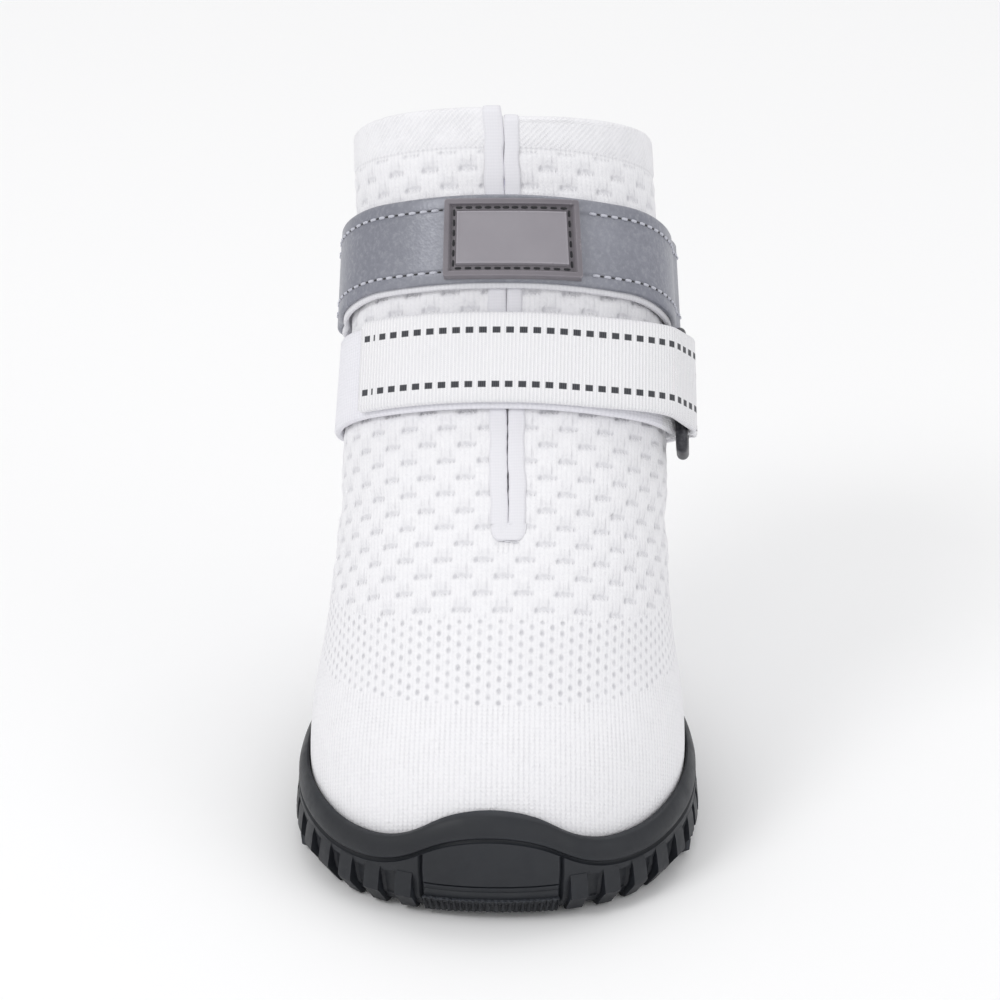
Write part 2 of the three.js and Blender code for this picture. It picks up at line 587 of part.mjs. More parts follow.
// ring: rounded rectangle of round wire, standing along the strap's width
const RING_LONG = 20.4;
const RING_SHORT = 7.4;
const RING_SWING = 9;                // degrees, rear bar toward the leg
const RING_LOW = 0.3;                 // how far the ring has slipped down the strap
function ringSolid() {
  const s0 = edge('webbing', BAR_U, 1);
  const s1 = edge('webbing', BAR_U, 2);
  const u0 = rad(BAR_U);
  const a = skinAt(u0, vBelow(u0, s0), BAR_D);
  const b = skinAt(u0, vBelow(u0, s1), BAR_D);
  const across = b.clone().sub(a).normalize();
  const mid = a.clone().add(b).multiplyScalar(0.5).addScaledVector(across, RING_LOW);
  const u1 = rad(BAR_U + 6);
  const near = skinAt(u1, vBelow(u1, (s0 + s1) / 2), BAR_D);
  const side = near.sub(skinAt(u0, vBelow(u0, (s0 + s1) / 2), BAR_D));
  side.addScaledVector(across, -side.dot(across)).normalize();
  // the rear bar swings inward, toward the skin
  const outward = across.clone().cross(side).normalize();
  side.multiplyScalar(Math.cos(rad(RING_SWING))).addScaledVector(outward, -Math.sin(rad(RING_SWING)));
  const centre = mid.clone().addScaledVector(side, RING_SHORT / 2 - BAR_R);
  const hl = RING_LONG / 2 - BAR_R;
  const hs = RING_SHORT / 2 - BAR_R;
  const r = 1.3;
  const corners = [[hl - r, hs - r, 0], [-(hl - r), hs - r, 90], [-(hl - r), -(hs - r), 180], [hl - r, -(hs - r), 270]];
  const wire = [];
  for (const [cx, cy, t0] of corners) {
    for (const t of [0, 30, 60, 90]) {
      const a1 = rad(t0 + t);
      wire.push(centre.clone().addScaledVector(across, cx + r * Math.cos(a1)).addScaledVector(side, cy + r * Math.sin(a1)));
    }
  }
  const n = wire.length;
  const m = 8;
  const out = across.clone().cross(side).normalize();
  const points = [];
  const tris = [];
  wire.forEach((p, i) => {
    const t = wire[(i + 1) % n].clone().sub(wire[(i + n - 1) % n]).normalize();
    const w = t.clone().cross(out).normalize();
    for (let k = 0; k < m; k += 1) {
      const a2 = (2 * Math.PI * (k + 0.5)) / m;
      points.push(p.clone().addScaledVector(w, BAR_R * Math.cos(a2)).addScaledVector(out, BAR_R * Math.sin(a2)));
    }
  });
  for (let i = 0; i < n; i += 1) {
    for (let k = 0; k < m; k += 1) {
      const j = (i + 1) % n;
      const l = (k + 1) % m;
      tris.push(i * m + k, j * m + k, j * m + l, i * m + k, j * m + l, i * m + l);
    }
  }
  let s = toManifold(points, tris);
  if (s.volume() < 0) {
    const flipped = [];
    for (let i = 0; i < tris.length; i += 3) flipped.push(tris[i], tris[i + 2], tris[i + 1]);
    s = toManifold(points, flipped);
  }
  return { solid: s, centre, side, across, out };
}
const ringParts = ringSolid();
// Edge points of a strip bent round one of the ring's bars: k -1 front, 1 rear.
function bend(k, r, width, angles) {
  const { centre, side, across, out } = ringParts;
  const bar = centre.clone().addScaledVector(side, k * (RING_SHORT / 2 - BAR_R)).addScaledVector(across, -RING_LOW);
  return angles.map((t) => {
    const p = bar.clone().addScaledVector(side, -k * r * Math.cos(rad(t))).addScaledVector(out, r * Math.sin(rad(t)));
    return { pair: [p.clone().addScaledVector(across, -width / 2), p.clone().addScaledVector(across, width / 2)] };
  });
}
const TURN = [-90, -60, -30, 0, 30, 60, 90];

// webbing: rear band, left side, front under-layer, round the ring's bar, front layer
const UNDER_END = 62;
const foldR = BAR_R + GAP + BAND_T / 2 + 0.05;
const upperLayerD = BASE_D + BAND_T + GAP;
const webWidth = edge('webbing', BAR_U, 2) - edge('webbing', BAR_U, 1);
const webPath = [
  ...along('webbing', range(114, 360 + UNDER_END, 6), (deg) => (deg > 390 ? BASE_D + (BAR_D - foldR - BASE_D) * easeIn((deg - 390) / 40) : BASE_D)),
  ...bend(-1, foldR, webWidth, TURN),
  ...along('webbing', range(UNDER_END - 2, -52, 6), (deg) => upperLayerD + (BAR_D + foldR - upperLayerD) * easeIn((deg - 20) / 48), -0.4),
];
const webbingSolid = strip(webPath, BAND_T);

// tab: from the rear, round the ring's rear bar and back over itself
const TAB_T = 1.0;
const TAB_NARROW = 1.0;                // each edge, inside the webbing's
const REAR_BAR_U = 91;
const tabR = BAR_R + GAP + TAB_T / 2 + 0.05;
const tabLow = GAP + 0.1 + TAB_T / 2;
const tabHigh = BASE_D + BAND_T / 2 + GAP + 0.1 + TAB_T / 2;
const tabRow = (deg, d) => ({ u: rad(deg), top: edge('webbing', deg, 1) + TAB_NARROW, low: edge('webbing', deg, 2) - TAB_NARROW, d });
const tabPath = [
  ...range(109, REAR_BAR_U + 6, 4).map((deg) => tabRow(deg, tabLow + 0.9 * easeIn((109 - deg) / 18))),
  ...bend(1, tabR, webWidth - 2 * TAB_NARROW, TURN),
  ...range(REAR_BAR_U + 6, 126, 5).map((deg) => tabRow(deg, tabHigh + 2.0 * easeIn((112 - deg) / 20))),
];
const tabSolid = strip(tabPath, TAB_T);

// ---------------------------------------------------------------- badge
const BADGE = { wide: 18.9, x: 1.2, top: 12.9, low: 25.6, frame: 1.5, channel: 1.3 };
const badgeD = STRAP_LOW_D + STRAP_T / 2 + GAP + 0.05;
const uAtX = (x) => {
  const row = section(vBelow(0, 19));
  return Math.asin(signedPower(clamp((x - row[8]) / row[4], -1, 1), row[6] / 2));
};
const badgePad = (m, d0, d1, nu) => pad(
  (t) => uAtX(BADGE.x + lerp(-BADGE.wide / 2 + m, BADGE.wide / 2 - m, t)),
  BADGE.top + m, BADGE.low - m, d0, d1, nu, 1,
);
let badgeSolid = badgePad(0, badgeD, badgeD + 1.7, 10)
  .subtract(badgePad(BADGE.frame, badgeD + 1.1, badgeD + 3, 10))
  .add(badgePad(BADGE.frame + BADGE.channel, badgeD + 0.6, badgeD + 1.6, 10));

// ---------------------------------------------------------------- model
const boot = new THREE.Group();
const finish = (color, roughness, metalness = 0) => new THREE.MeshStandardMaterial({ color, roughness, metalness });
function addPiece(name, solid, material) {
  const status = solid.status();
  if (status !== 'NoError' && status !== 0 && status.value !== 0) throw new Error(`${name}: ${JSON.stringify(status)}`);
  const mesh = new THREE.Mesh(toGeometry(solid), material);
  mesh.name = name;
  boot.add(mesh);
}
addPiece('upper', upperSolid, finish(0xe9e9ee, 0.9));
addPiece('outsole', soleSolid, finish(0x14171c, 0.6));
addPiece('insole', insoleSolid, finish(0xd8d8dc, 0.95));
addPiece('loop_band', loopBandSolid, finish(0xe6e6ec, 0.95));
addPiece('reflective_strap', reflectiveSolid, finish(0x3c4452, 0.45));
addPiece('badge', badgeSolid, finish(0x463f44, 0.6));
addPiece('webbing_strap', webbingSolid, finish(0xececf0, 0.85));
addPiece('ring_tab', tabSolid, finish(0xe8e8ee, 0.85));
addPiece('strap_ring', ringParts.solid, finish(0x2a2c30, 0.4, 0.8));

export default boot;
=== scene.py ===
# Dog boot: the looks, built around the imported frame. Sizes in mm unless a name says otherwise.
# Toe toward -Y, ring side +X. Y tables count from the sole's toe tip.
import math

import bpy
import numpy as np
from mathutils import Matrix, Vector


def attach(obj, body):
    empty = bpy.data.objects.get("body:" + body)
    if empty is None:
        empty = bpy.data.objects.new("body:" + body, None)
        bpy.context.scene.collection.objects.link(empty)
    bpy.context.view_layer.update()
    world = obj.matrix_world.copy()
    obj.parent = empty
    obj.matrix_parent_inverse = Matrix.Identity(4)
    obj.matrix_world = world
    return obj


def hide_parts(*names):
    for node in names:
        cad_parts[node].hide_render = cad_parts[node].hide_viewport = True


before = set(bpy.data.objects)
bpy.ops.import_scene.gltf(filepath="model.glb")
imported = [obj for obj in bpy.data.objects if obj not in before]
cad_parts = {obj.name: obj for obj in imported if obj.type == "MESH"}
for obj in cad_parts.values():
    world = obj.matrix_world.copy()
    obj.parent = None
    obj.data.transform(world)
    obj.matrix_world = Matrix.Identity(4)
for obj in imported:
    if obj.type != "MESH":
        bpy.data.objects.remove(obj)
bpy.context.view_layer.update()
MM = 0.001
PI = math.pi

# ------------------------------------------------------------------ the boot's own sizes
ORIGIN_Y = 53.0
WIDEST, SOLE_FORE, SOLE_AFT, SOLE_HALF = 30.9, 31.6, 45.6, 30.0
FORE_POWER, AFT_POWER = 2.2, 1.87
WALL = 1.8
GAP = 0.3
BASE_Z = 1.7
BAND_T, STRAP_T, TAB_T = 1.2, 1.6, 1.0
SLIT_WIDTH, SLIT_LENGTH = 0.8, 64.5
SLIT_TOP_X, SLIT_LOW_X = -0.4, 1.6
FLAP_STEP = 1.4
# yFront zFront yBack zBack half mid nFront nBack xMid
SECTIONS = np.array([
    [3.0, 4.3, 73.4, 4.3, 26.4, 0.400, 2.12, 1.87, 0],
    [2.3, 9.5, 74.2, 9.0, 27.3, 0.400, 2.12, 1.87, 0],
    [2.9, 16.0, 75.0, 14.5, 27.4, 0.405, 2.12, 1.90, 0],
    [5.5, 23.4, 76.0, 19.5, 26.9, 0.415, 2.15, 1.92, 0],
    [10.3, 30.0, 77.0, 24.5, 26.2, 0.430, 2.15, 1.95, 0],
    [18.0, 38.3, 78.2, 30.5, 25.5, 0.450, 2.15, 2.00, 0.1],
    [31.2, 49.4, 80.2, 38.5, 24.9, 0.500, 2.20, 2.10, 0.2],
    [42.6, 59.4, 82.6, 45.0, 24.5, 0.530, 2.25, 2.20, 0.2],
    [52.4, 69.0, 86.6, 51.6, 24.1, 0.560, 2.30, 2.30, 0.2],
    [58.9, 76.9, 91.0, 57.6, 23.8, 0.560, 2.30, 2.30, 0.2],
    [63.8, 84.8, 96.0, 63.8, 23.4, 0.550, 2.25, 2.25, 0.0],
    [67.4, 92.2, 101.4, 69.6, 23.1, 0.530, 2.15, 2.15, -0.5],
    [70.2, 99.8, 107.2, 75.6, 23.0, 0.510, 2.10, 2.10, -1.0],
])
LAST = len(SECTIONS) - 1
RIM = [(0, 17.6), (12, 16.4), (24, 12.6), (34, 11.2), (48, 11.0), (70, 11.9), (90, 13.0), (120, 13.8), (150, 14.2), (180, 14.4)]
EDGES = {
    "reflective": [(0, 12.3, 26.0), (45, 12.8, 26.4), (90, 14.2, 28.2), (135, 15.6, 29.8), (180, 16.2, 30.4)],
    "loopBand": [(0, 14, 27), (90, 14.6, 28.6), (135, 15.0, 29.0), (180, 15.2, 29.2)],
    "webbing": [(0, 31.3, 46.0), (45, 31.6, 46.4), (90, 31.6, 46.8), (135, 30.8, 46.0), (180, 30.2, 45.4)],
}


def smoothstep(t):
    t = np.clip(t, 0, 1)
    return t * t * (3 - 2 * t)


def smooth_table(rows, x):
    r = np.asarray(rows, float)
    x = np.asarray(x, float)
    i = np.clip(np.searchsorted(r[:, 0], x) - 1, 0, len(r) - 2)
    t = smoothstep((x - r[i, 0]) / (r[i + 1, 0] - r[i, 0]))
    return r[i, 1:] + (r[i + 1, 1:] - r[i, 1:]) * t[..., None]


def lerp(a, b, t):
    return a + (b - a) * t


def spow(s, p):
    return np.sign(s) * np.abs(s) ** p


def section(v):
    v = np.clip(np.asarray(v, float), 0, LAST)
    i = np.minimum(v.astype(int), LAST - 1)
    t = (v - i)[..., None]
    p1, p2 = SECTIONS[i], SECTIONS[i + 1]
    p0 = np.where((i > 0)[..., None], SECTIONS[np.maximum(i - 1, 0)], 2 * p1 - p2)
    p3 = np.where((i + 2 <= LAST)[..., None], SECTIONS[np.minimum(i + 2, LAST)], 2 * p2 - p1)
    m1, m2 = (p2 - p0) / 2, (p3 - p1) / 2
    return (2 * t**3 - 3 * t**2 + 1) * p1 + (t**3 - 2 * t**2 + t) * m1 + (-2 * t**3 + 3 * t**2) * p2 + (t**3 - t**2) * m2


def skin(u, v):
    u, v = np.broadcast_arrays(np.asarray(u, float), np.asarray(v, float))
    s = section(v)
    c, sn = np.cos(u), np.sin(u)
    n = np.where(c > 0, s[..., 6], s[..., 7])
    k = np.abs(c) ** (2 / n)
    mid = s[..., 5]
    f = np.where(c > 0, mid * (1 - k), mid + (1 - mid) * k)
    x = s[..., 8] + s[..., 4] * spow(sn, 2 / n)
    return np.stack([x, lerp(s[..., 0], s[..., 2], f) - ORIGIN_Y, lerp(s[..., 1], s[..., 3], f)], -1)


def unit(a):
    return a / np.maximum(np.linalg.norm(a, axis=-1, keepdims=True), 1e-12)


def skin_normal(u, v):
    e = 0.02
    a = skin(u + e, v) - skin(u - e, v)
    b = skin(u, np.minimum(v + e, LAST)) - skin(u, np.maximum(v - e, 0))
    return unit(np.cross(a, b))


def skin_at(u, v, d):
    return skin(u, v) + skin_normal(u, v) * np.asarray(d)[..., None]


# distance below the collar along each column
_UU = np.linspace(-PI, PI, 721)
_VV = np.linspace(0, LAST, 361)
_P = skin(_UU[:, None], _VV[None, :])
_seg = np.linalg.norm(np.diff(_P, axis=1), axis=2)
_S = np.concatenate([np.zeros((len(_UU), 1)), np.cumsum(_seg[:, ::-1], axis=1)], axis=1)[:, ::-1]
_arc = np.concatenate([np.zeros((1, len(_VV))), np.cumsum(np.linalg.norm(np.diff(_P, axis=0), axis=2), axis=0)], axis=0)
_arc = _arc - _arc[360][None, :]  # signed distance round from the front


def _bilinear(grid, u, v):
    u = (np.asarray(u, float) + PI) % (2 * PI) - PI
    fu = np.clip((u + PI) / (2 * PI) * 720, 0, 720)
    fv = np.clip(np.asarray(v, float) / LAST * 360, 0, 360)
    i, j = np.minimum(fu.astype(int), 719), np.minimum(fv.astype(int), 359)
    a, b = fu - i, fv - j
    return (grid[i, j] * (1 - a) + grid[i + 1, j] * a) * (1 - b) + (grid[i, j + 1] * (1 - a) + grid[i + 1, j + 1] * a) * b


def s_of(u, v):
    return _bilinear(_S, u, v)


def arc_of(u, v):
    return _bilinear(_arc, u, v)


def v_below(u, s):
    u, s = np.broadcast_arrays(np.asarray(u, float), np.asarray(s, float))
    shape = u.shape
    uu = (u.ravel() + PI) % (2 * PI) - PI
    f = (uu + PI) / (2 * PI) * 720
    i = np.minimum(f.astype(int), 719)
    a = f - i
    out = np.empty(len(uu))
    ss = s.ravel()
    for k in range(len(uu)):
        col = _S[i[k]] * (1 - a[k]) + _S[i[k] + 1] * a[k]
        out[k] = np.interp(ss[k], col[::-1], _VV[::-1])
    return out.reshape(shape)


def flap_drop(u):
    a = np.degrees(np.arctan2(np.sin(u), np.cos(u)))
    return np.where(a > 0.5, FLAP_STEP * np.clip(1 - a / 75, 0, 1), 0.0)


def slit_x(s):
    return lerp(SLIT_TOP_X, SLIT_LOW_X, np.clip(np.asarray(s) / SLIT_LENGTH, 0, 1))


def u_at_x(x, v):
    s = section(v)
    return np.arcsin(np.clip(spow((np.asarray(x) - s[..., 8]) / s[..., 4], s[..., 6] / 2), -1, 1))


R_RIM = WALL / 2


def shell_point(u, q, h):
    """q >= 0: q mm below the collar on the outside; q < 0: over the rim and down the inside. h is the height off the cloth."""
    u, q, h = np.broadcast_arrays(np.asarray(u, float), np.asarray(q, float), np.asarray(h, float))
    drop = flap_drop(u)
    over = np.clip(-q, 0, PI * R_RIM)
    down = np.where(q >= 0, q, np.maximum(-q - PI * R_RIM, 0))
    v = v_below(u, drop + down)
    p, n = skin(u, v), skin_normal(u, v)
    up = unit(skin(u, np.maximum(v, 0.3)) - skin(u, np.maximum(v, 0.3) - 0.3))
    th = over / R_RIM
    r = R_RIM + h
    return p - n * R_RIM + n * (r * np.cos(th))[..., None] + up * (r * np.sin(th))[..., None]


def edge(name, deg):
    a = np.abs(((np.asarray(deg, float) + 180) % 360 + 360) % 360 - 180)
    return smooth_table(EDGES[name], a)


# ------------------------------------------------------------------ meshes
def grid_faces(rows, cols, wrap=False, flip=False):
    r = np.arange(rows - 1)[:, None]
    c = np.arange(cols if wrap else cols - 1)[None, :]
    c2 = (c + 1) % cols
    f = np.stack([r * cols + c, r * cols + c2, (r + 1) * cols + c2, (r + 1) * cols + c], -1).reshape(-1, 4)
    return f[:, ::-1] if flip else f


class Build:
    """Gathers vertices (mm), faces, per-vertex uv (mm) and per-face material numbers."""

    def __init__(self):
        self.v, self.f, self.uv, self.m, self.n = [], [], [], [], 0

    def add(self, verts, faces, uv=None, mat=0):
        verts = np.asarray(verts, float).reshape(-1, 3)
        self.v.append(verts)
        self.uv.append(np.zeros((len(verts), 2)) if uv is None else np.asarray(uv, float).reshape(-1, 2))
        mats = np.broadcast_to(np.asarray(mat), (len(faces),))
        for face, k in zip(faces, mats):
            self.f.append([int(a) + self.n for a in face])
            self.m.append(int(k))
        self.n += len(verts)

    def grid(self, pts, uv=None, mat=0, wrap=False, flip=False):
        rows, cols = pts.shape[:2]
        self.add(pts.reshape(-1, 3), grid_faces(rows, cols, wrap, flip), uv, mat)

    def object(self, name, mats, replaces=(), smooth=True, sharp=None):
        verts = np.concatenate(self.v) * MM
        me = bpy.data.meshes.new(name)
        me.from_pydata(verts.tolist(), [], self.f)
        me.validate()
        layer = me.uv_layers.new(name="mm")
        uv = np.concatenate(self.uv)
        idx = np.empty(len(me.loops), dtype=np.int32)
        me.loops.foreach_get("vertex_index", idx)
        layer.data.foreach_set("uv", uv[idx].astype(np.float32).ravel())
        for m in mats:
            me.materials.append(m)
        if len(me.polygons) == len(self.m):
            me.polygons.foreach_set("material_index", self.m)
        me.polygons.foreach_set("use_smooth", [smooth] * len(me.polygons))
        me.update()
        if sharp is not None:
            me.set_sharp_from_angle(angle=math.radians(sharp))
        o = bpy.data.objects.new(name, me)
        bpy.context.scene.collection.objects.link(o)
        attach(o, "root")
        if replaces:
            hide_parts(*replaces)
        return o


def add_attribute(obj, name, values):
    a = obj.data.attributes.new(name, "FLOAT", "POINT")
    a.data.foreach_set("value", np.asarray(values, np.float32).ravel())


# ------------------------------------------------------------------ node helper
class Nodes:
    def __init__(self, name):
        self.mat = bpy.data.materials.new(name)
        self.mat.use_nodes = True
        self.t = self.mat.node_tree
        self.t.nodes.clear()
        self.out = self.t.nodes.new("ShaderNodeOutputMaterial")
        self.bsdf = self.t.nodes.new("ShaderNodeBsdfPrincipled")
        self.t.links.new(self.bsdf.outputs[0], self.out.inputs[0])

    def new(self, kind, **props):
        n = self.t.nodes.new(kind)
        for k, val in props.items():
            setattr(n, k, val)
        return n

    def put(self, socket, val):
        if isinstance(val, bpy.types.NodeSocket):
            self.t.links.new(val, socket)
        else:
            socket.default_value = val

    def math(self, op, a, b=0.0, c=0.0, clamp=False):
        n = self.new("ShaderNodeMath", operation=op, use_clamp=clamp)
        self.put(n.inputs[0], a)
        self.put(n.inputs[1], b)
        self.put(n.inputs[2], c)
        return n.outputs[0]

    def add(self, a, b):
        return self.math("ADD", a, b)

    def sub(self, a, b):
        return self.math("SUBTRACT", a, b)

    def mul(self, a, b):
        return self.math("MULTIPLY", a, b)

    def div(self, a, b):
        return self.math("DIVIDE", a, b)

    def fract(self, a):
        return self.math("FRACT", a)

    def floor(self, a):
        return self.math("FLOOR", a)

    def abs(self, a):
        return self.math("ABSOLUTE", a)

    def max(self, a, b):
        return self.math("MAXIMUM", a, b)

    def min(self, a, b):
        return self.math("MINIMUM", a, b)

    def sin(self, a):
        return self.math("SINE", a)

    def ramp(self, x, lo, hi, a=0.0, b=1.0):
        n = self.new("ShaderNodeMapRange", interpolation_type="SMOOTHSTEP")
        self.put(n.inputs["Value"], x)
        self.put(n.inputs["From Min"], lo)
        self.put(n.inputs["From Max"], hi)
        self.put(n.inputs["To Min"], a)
        self.put(n.inputs["To Max"], b)
        return n.outputs[0]

    def blob(self, x, y, cx, cy, rx, ry, soft=0.45):
        """1 inside an ellipse, 0 outside."""
        dx = self.div(self.sub(x, cx), rx)
        dy = self.div(self.sub(y, cy), ry)
        d = self.math("SQRT", self.add(self.mul(dx, dx), self.mul(dy, dy)))
        return self.ramp(d, 1 - soft, 1 + soft, 1.0, 0.0)

    def band(self, x, lo, hi, soft):
        return self.mul(self.ramp(x, lo - soft, lo + soft), self.ramp(x, hi - soft, hi + soft, 1.0, 0.0))

    def uv(self):
        n = self.new("ShaderNodeUVMap", uv_map="mm")
        s = self.new("ShaderNodeSeparateXYZ")
        self.t.links.new(n.outputs[0], s.inputs[0])
        return s.outputs[0], s.outputs[1]

    def attr(self, name):
        return self.new("ShaderNodeAttribute", attribute_name=name).outputs["Fac"]

    def coords(self):
        return self.new("ShaderNodeTexCoord").outputs["Object"]

    def noise(self, scale, detail=2.0, rough=0.5, vec=None, dist=0.0):
        n = self.new("ShaderNodeTexNoise")
        self.put(n.inputs["Vector"], vec if vec is not None else self.coords())
        n.inputs["Scale"].default_value = scale
        n.inputs["Detail"].default_value = detail
        n.inputs["Roughness"].default_value = rough
        n.inputs["Distortion"].default_value = dist
        return n.outputs["Fac"]

    def mix(self, fac, a, b):
        n = self.new("ShaderNodeMix", data_type="RGBA")
        self.put(n.inputs[0], fac)
        for k, val in ((6, a), (7, b)):
            if isinstance(val, (tuple, list)):
                val = (*val, 1.0)
            self.put(n.inputs[k], val)
        return n.outputs[2]

    def bump(self, height, distance_mm, strength=1.0, normal=None):
        n = self.new("ShaderNodeBump")
        n.inputs["Strength"].default_value = strength
        n.inputs["Distance"].default_value = distance_mm * MM
        self.put(n.inputs["Height"], height)
        if normal is not None:
            self.put(n.inputs["Normal"], normal)
        return n.outputs[0]

    def finish(self, color=None, rough=None, normal=None, **fixed):
        if color is not None:
            self.put(self.bsdf.inputs["Base Color"], (*color, 1.0) if isinstance(color, tuple) else color)
        if rough is not None:
            self.put(self.bsdf.inputs["Roughness"], rough)
        if normal is not None:
            self.put(self.bsdf.inputs["Normal"], normal)
        for k, val in fixed.items():
            self.bsdf.inputs[k].default_value = val
        return self.mat


# ------------------------------------------------------------------ materials
WHITE = (0.86, 0.855, 0.875)
# SHADE is painted shade: the darker colour laid into the knit's stitch grooves and low spots
SHADE = (0.40, 0.40, 0.47)


def knit_material():
    """White knit: open motifs on the shaft, small dots over the toe, plain wales below, ribbed rim."""
    k = Nodes("knit")
    u, s = k.uv()                      # round from the front, below the collar
    w = k.attr("zone")                 # section number with the sides' shift
    wob = k.sub(k.noise(420, 2), 0.5)
    uw = k.add(u, k.mul(wob, 0.35))
    sw = k.add(s, k.mul(k.sub(k.noise(380, 2, 0.5), 0.5), 0.35))
    # open motifs: columns 3.07 apart, rows 5.39 apart, every other column half a row lower
    col = k.div(k.add(uw, 300.0 * 3.07 + 0.6), 3.07)
    ci = k.floor(col)
    x = k.mul(k.fract(col), 3.07)
    half = k.mul(k.fract(k.mul(ci, 0.5)), 1.0)
    row = k.add(k.div(sw, 5.39), half)
    y = k.mul(k.sub(k.fract(row), 0.5), 5.39)
    slant = k.add(x, k.mul(y, 0.16))
    hollow = k.mul(k.blob(x, k.add(y, k.mul(k.abs(k.sub(x, 1.6)), -0.06)), 1.6, -0.12, 1.35, 0.28, 0.9), 0.38)
    left = k.mul(k.blob(slant, y, 0.42, 0.10, 0.24, 0.38, 0.95), 0.76)
    mid = k.mul(k.blob(x, y, 1.95, 0.10, 0.22, 0.20, 0.9), 0.45)
    right = k.mul(k.blob(x, y, 2.82, 0.05, 0.17, 0.30, 0.9), 0.42)
    g1 = k.mul(k.blob(x, y, 0.80, -1.2, 0.12, 0.85, 0.9), 0.20)
    g2 = k.mul(k.blob(x, y, 2.20, -1.2, 0.12, 0.85, 0.9), 0.20)
    low = k.mul(k.blob(x, y, 1.5, 0.62, 0.9, 0.13, 0.9), 0.12)
    # painted shadow: a soft darker patch above each motif's hollow
    above = k.mul(k.blob(x, y, 1.6, -0.75, 1.25, 0.75, 0.95), 0.13)
    scallop = k.mul(k.blob(k.mul(k.sub(k.fract(k.div(x, 0.62)), 0.5), 0.62), y, 0.0, 0.34, 0.14, 0.16, 0.8), k.band(x, 0.5, 2.8, 0.1))
    motif = k.add(k.add(above, k.mul(scallop, 0.34)), k.max(k.max(k.max(hollow, left), k.max(mid, right)), k.max(k.max(g1, g2), low)))
    # small dots
    dc = k.div(k.add(u, 300.0 * 1.53), 1.53)
    di = k.floor(dc)
    dx = k.mul(k.sub(k.fract(dc), 0.5), 1.53)
    dr = k.add(k.div(s, 1.8), k.fract(k.mul(di, 0.5)))
    dy = k.mul(k.sub(k.fract(dr), 0.5), 1.8)
    dots = k.blob(dx, dy, 0.0, 0.0, 0.25, 0.35, 1.0)
    # zones
    wz = k.add(w, k.mul(k.sub(k.noise(60, 1), 0.5), 0.05))
    under_end = k.mul(k.band(k.sub(u, SLIT_LOW_X), -1.9, 1.9, 0.3), k.band(s, SLIT_LENGTH - 2.0, SLIT_LENGTH + 4.6, 0.3))
    in_holes = k.mul(k.mul(k.ramp(wz, 5.13, 5.17), k.ramp(s, 5.3, 5.9)), k.sub(1.0, under_end))
    in_dots = k.mul(k.ramp(wz, 4.02, 4.06), k.ramp(wz, 5.11, 5.15, 1.0, 0.0))
    holes = k.add(k.mul(motif, in_holes), k.mul(k.mul(dots, in_dots), k.ramp(k.noise(500, 2), 0.3, 0.7, 0.5, 0.85)))
    # stitches: wales 0.77 wide, courses 0.62
    wale = k.fract(k.div(u, 0.77))
    vee = k.abs(k.sub(wale, 0.5))
    course = k.sin(k.mul(k.add(k.div(s, 0.62), k.mul(vee, 1.1)), 2 * PI))
    ridge = k.ramp(vee, 0.0, 0.5, 1.0, 0.0)
    groove = k.ramp(vee, 0.30, 0.5)
    stitch = k.add(k.mul(course, 0.16), k.sub(k.mul(ridge, 0.5), k.mul(groove, 0.5)))
    # ribbed rim: diagonal cords above a fine line
    cord = k.sin(k.mul(k.add(k.div(u, 0.95), k.div(s, 0.95)), 2 * PI))
    cross = k.sin(k.mul(k.sub(k.div(u, 0.42), k.div(s, 0.6)), 2 * PI))
    rim = k.add(k.mul(k.add(k.mul(cord, 0.42), k.mul(cross, 0.2)), k.ramp(k.noise(300, 2), 0.3, 0.7, 0.4, 1.1)), k.mul(k.sub(k.noise(1050, 3, 0.7, dist=0.6), 0.5), 1.3))
    in_rim = k.ramp(s, 4.7, 5.1, 1.0, 0.0)
    line = k.mul(k.band(s, 5.0, 5.3, 0.2), 0.5)
    lumps = k.sub(k.noise(1150, 3, 0.7, dist=0.6), 0.5)
    quiet = k.sub(1.0, k.mul(k.max(in_holes, in_dots), 0.55))
    stitch = k.add(k.mul(stitch, k.mul(quiet, k.ramp(k.noise(330, 2), 0.3, 0.7, 0.65, 1.1))), k.mul(lumps, 1.5))
    texture = k.add(k.mul(stitch, k.sub(1.0, in_rim)), k.mul(rim, in_rim))
    fuzz = k.noise(2600, 3, 0.6)
    patch = k.noise(70, 3, 0.5)
    # painted shade: the open motifs, the small dots and the groove under the rim are darkened to stand for the shade
    # inside them
    dark = k.math("ADD", k.mul(holes, 0.85), k.mul(line, 0.35), clamp=True)
    base = k.mix(k.mul(patch, 0.35), WHITE, (0.80, 0.795, 0.825))
    # painted shade: darker where the stitch, rim and lump texture is low
    shade = k.mix(k.ramp(texture, -0.6, 0.5, 0.13, 0.0), base, SHADE)
    color = k.mix(k.math("MULTIPLY", dark, 0.62, clamp=True), shade, (0.30, 0.30, 0.35))
    height = k.sub(k.add(k.mul(texture, 0.34), k.mul(fuzz, 0.25)), k.add(k.mul(holes, 1.0), k.mul(line, 0.5)))
    n = k.bump(height, 0.30, 0.85)
    return k.finish(color, 0.92, n, **{"Sheen Weight": 0.25, "Sheen Roughness": 0.5, "Specular IOR Level": 0.25, "Subsurface Weight": 0.0})


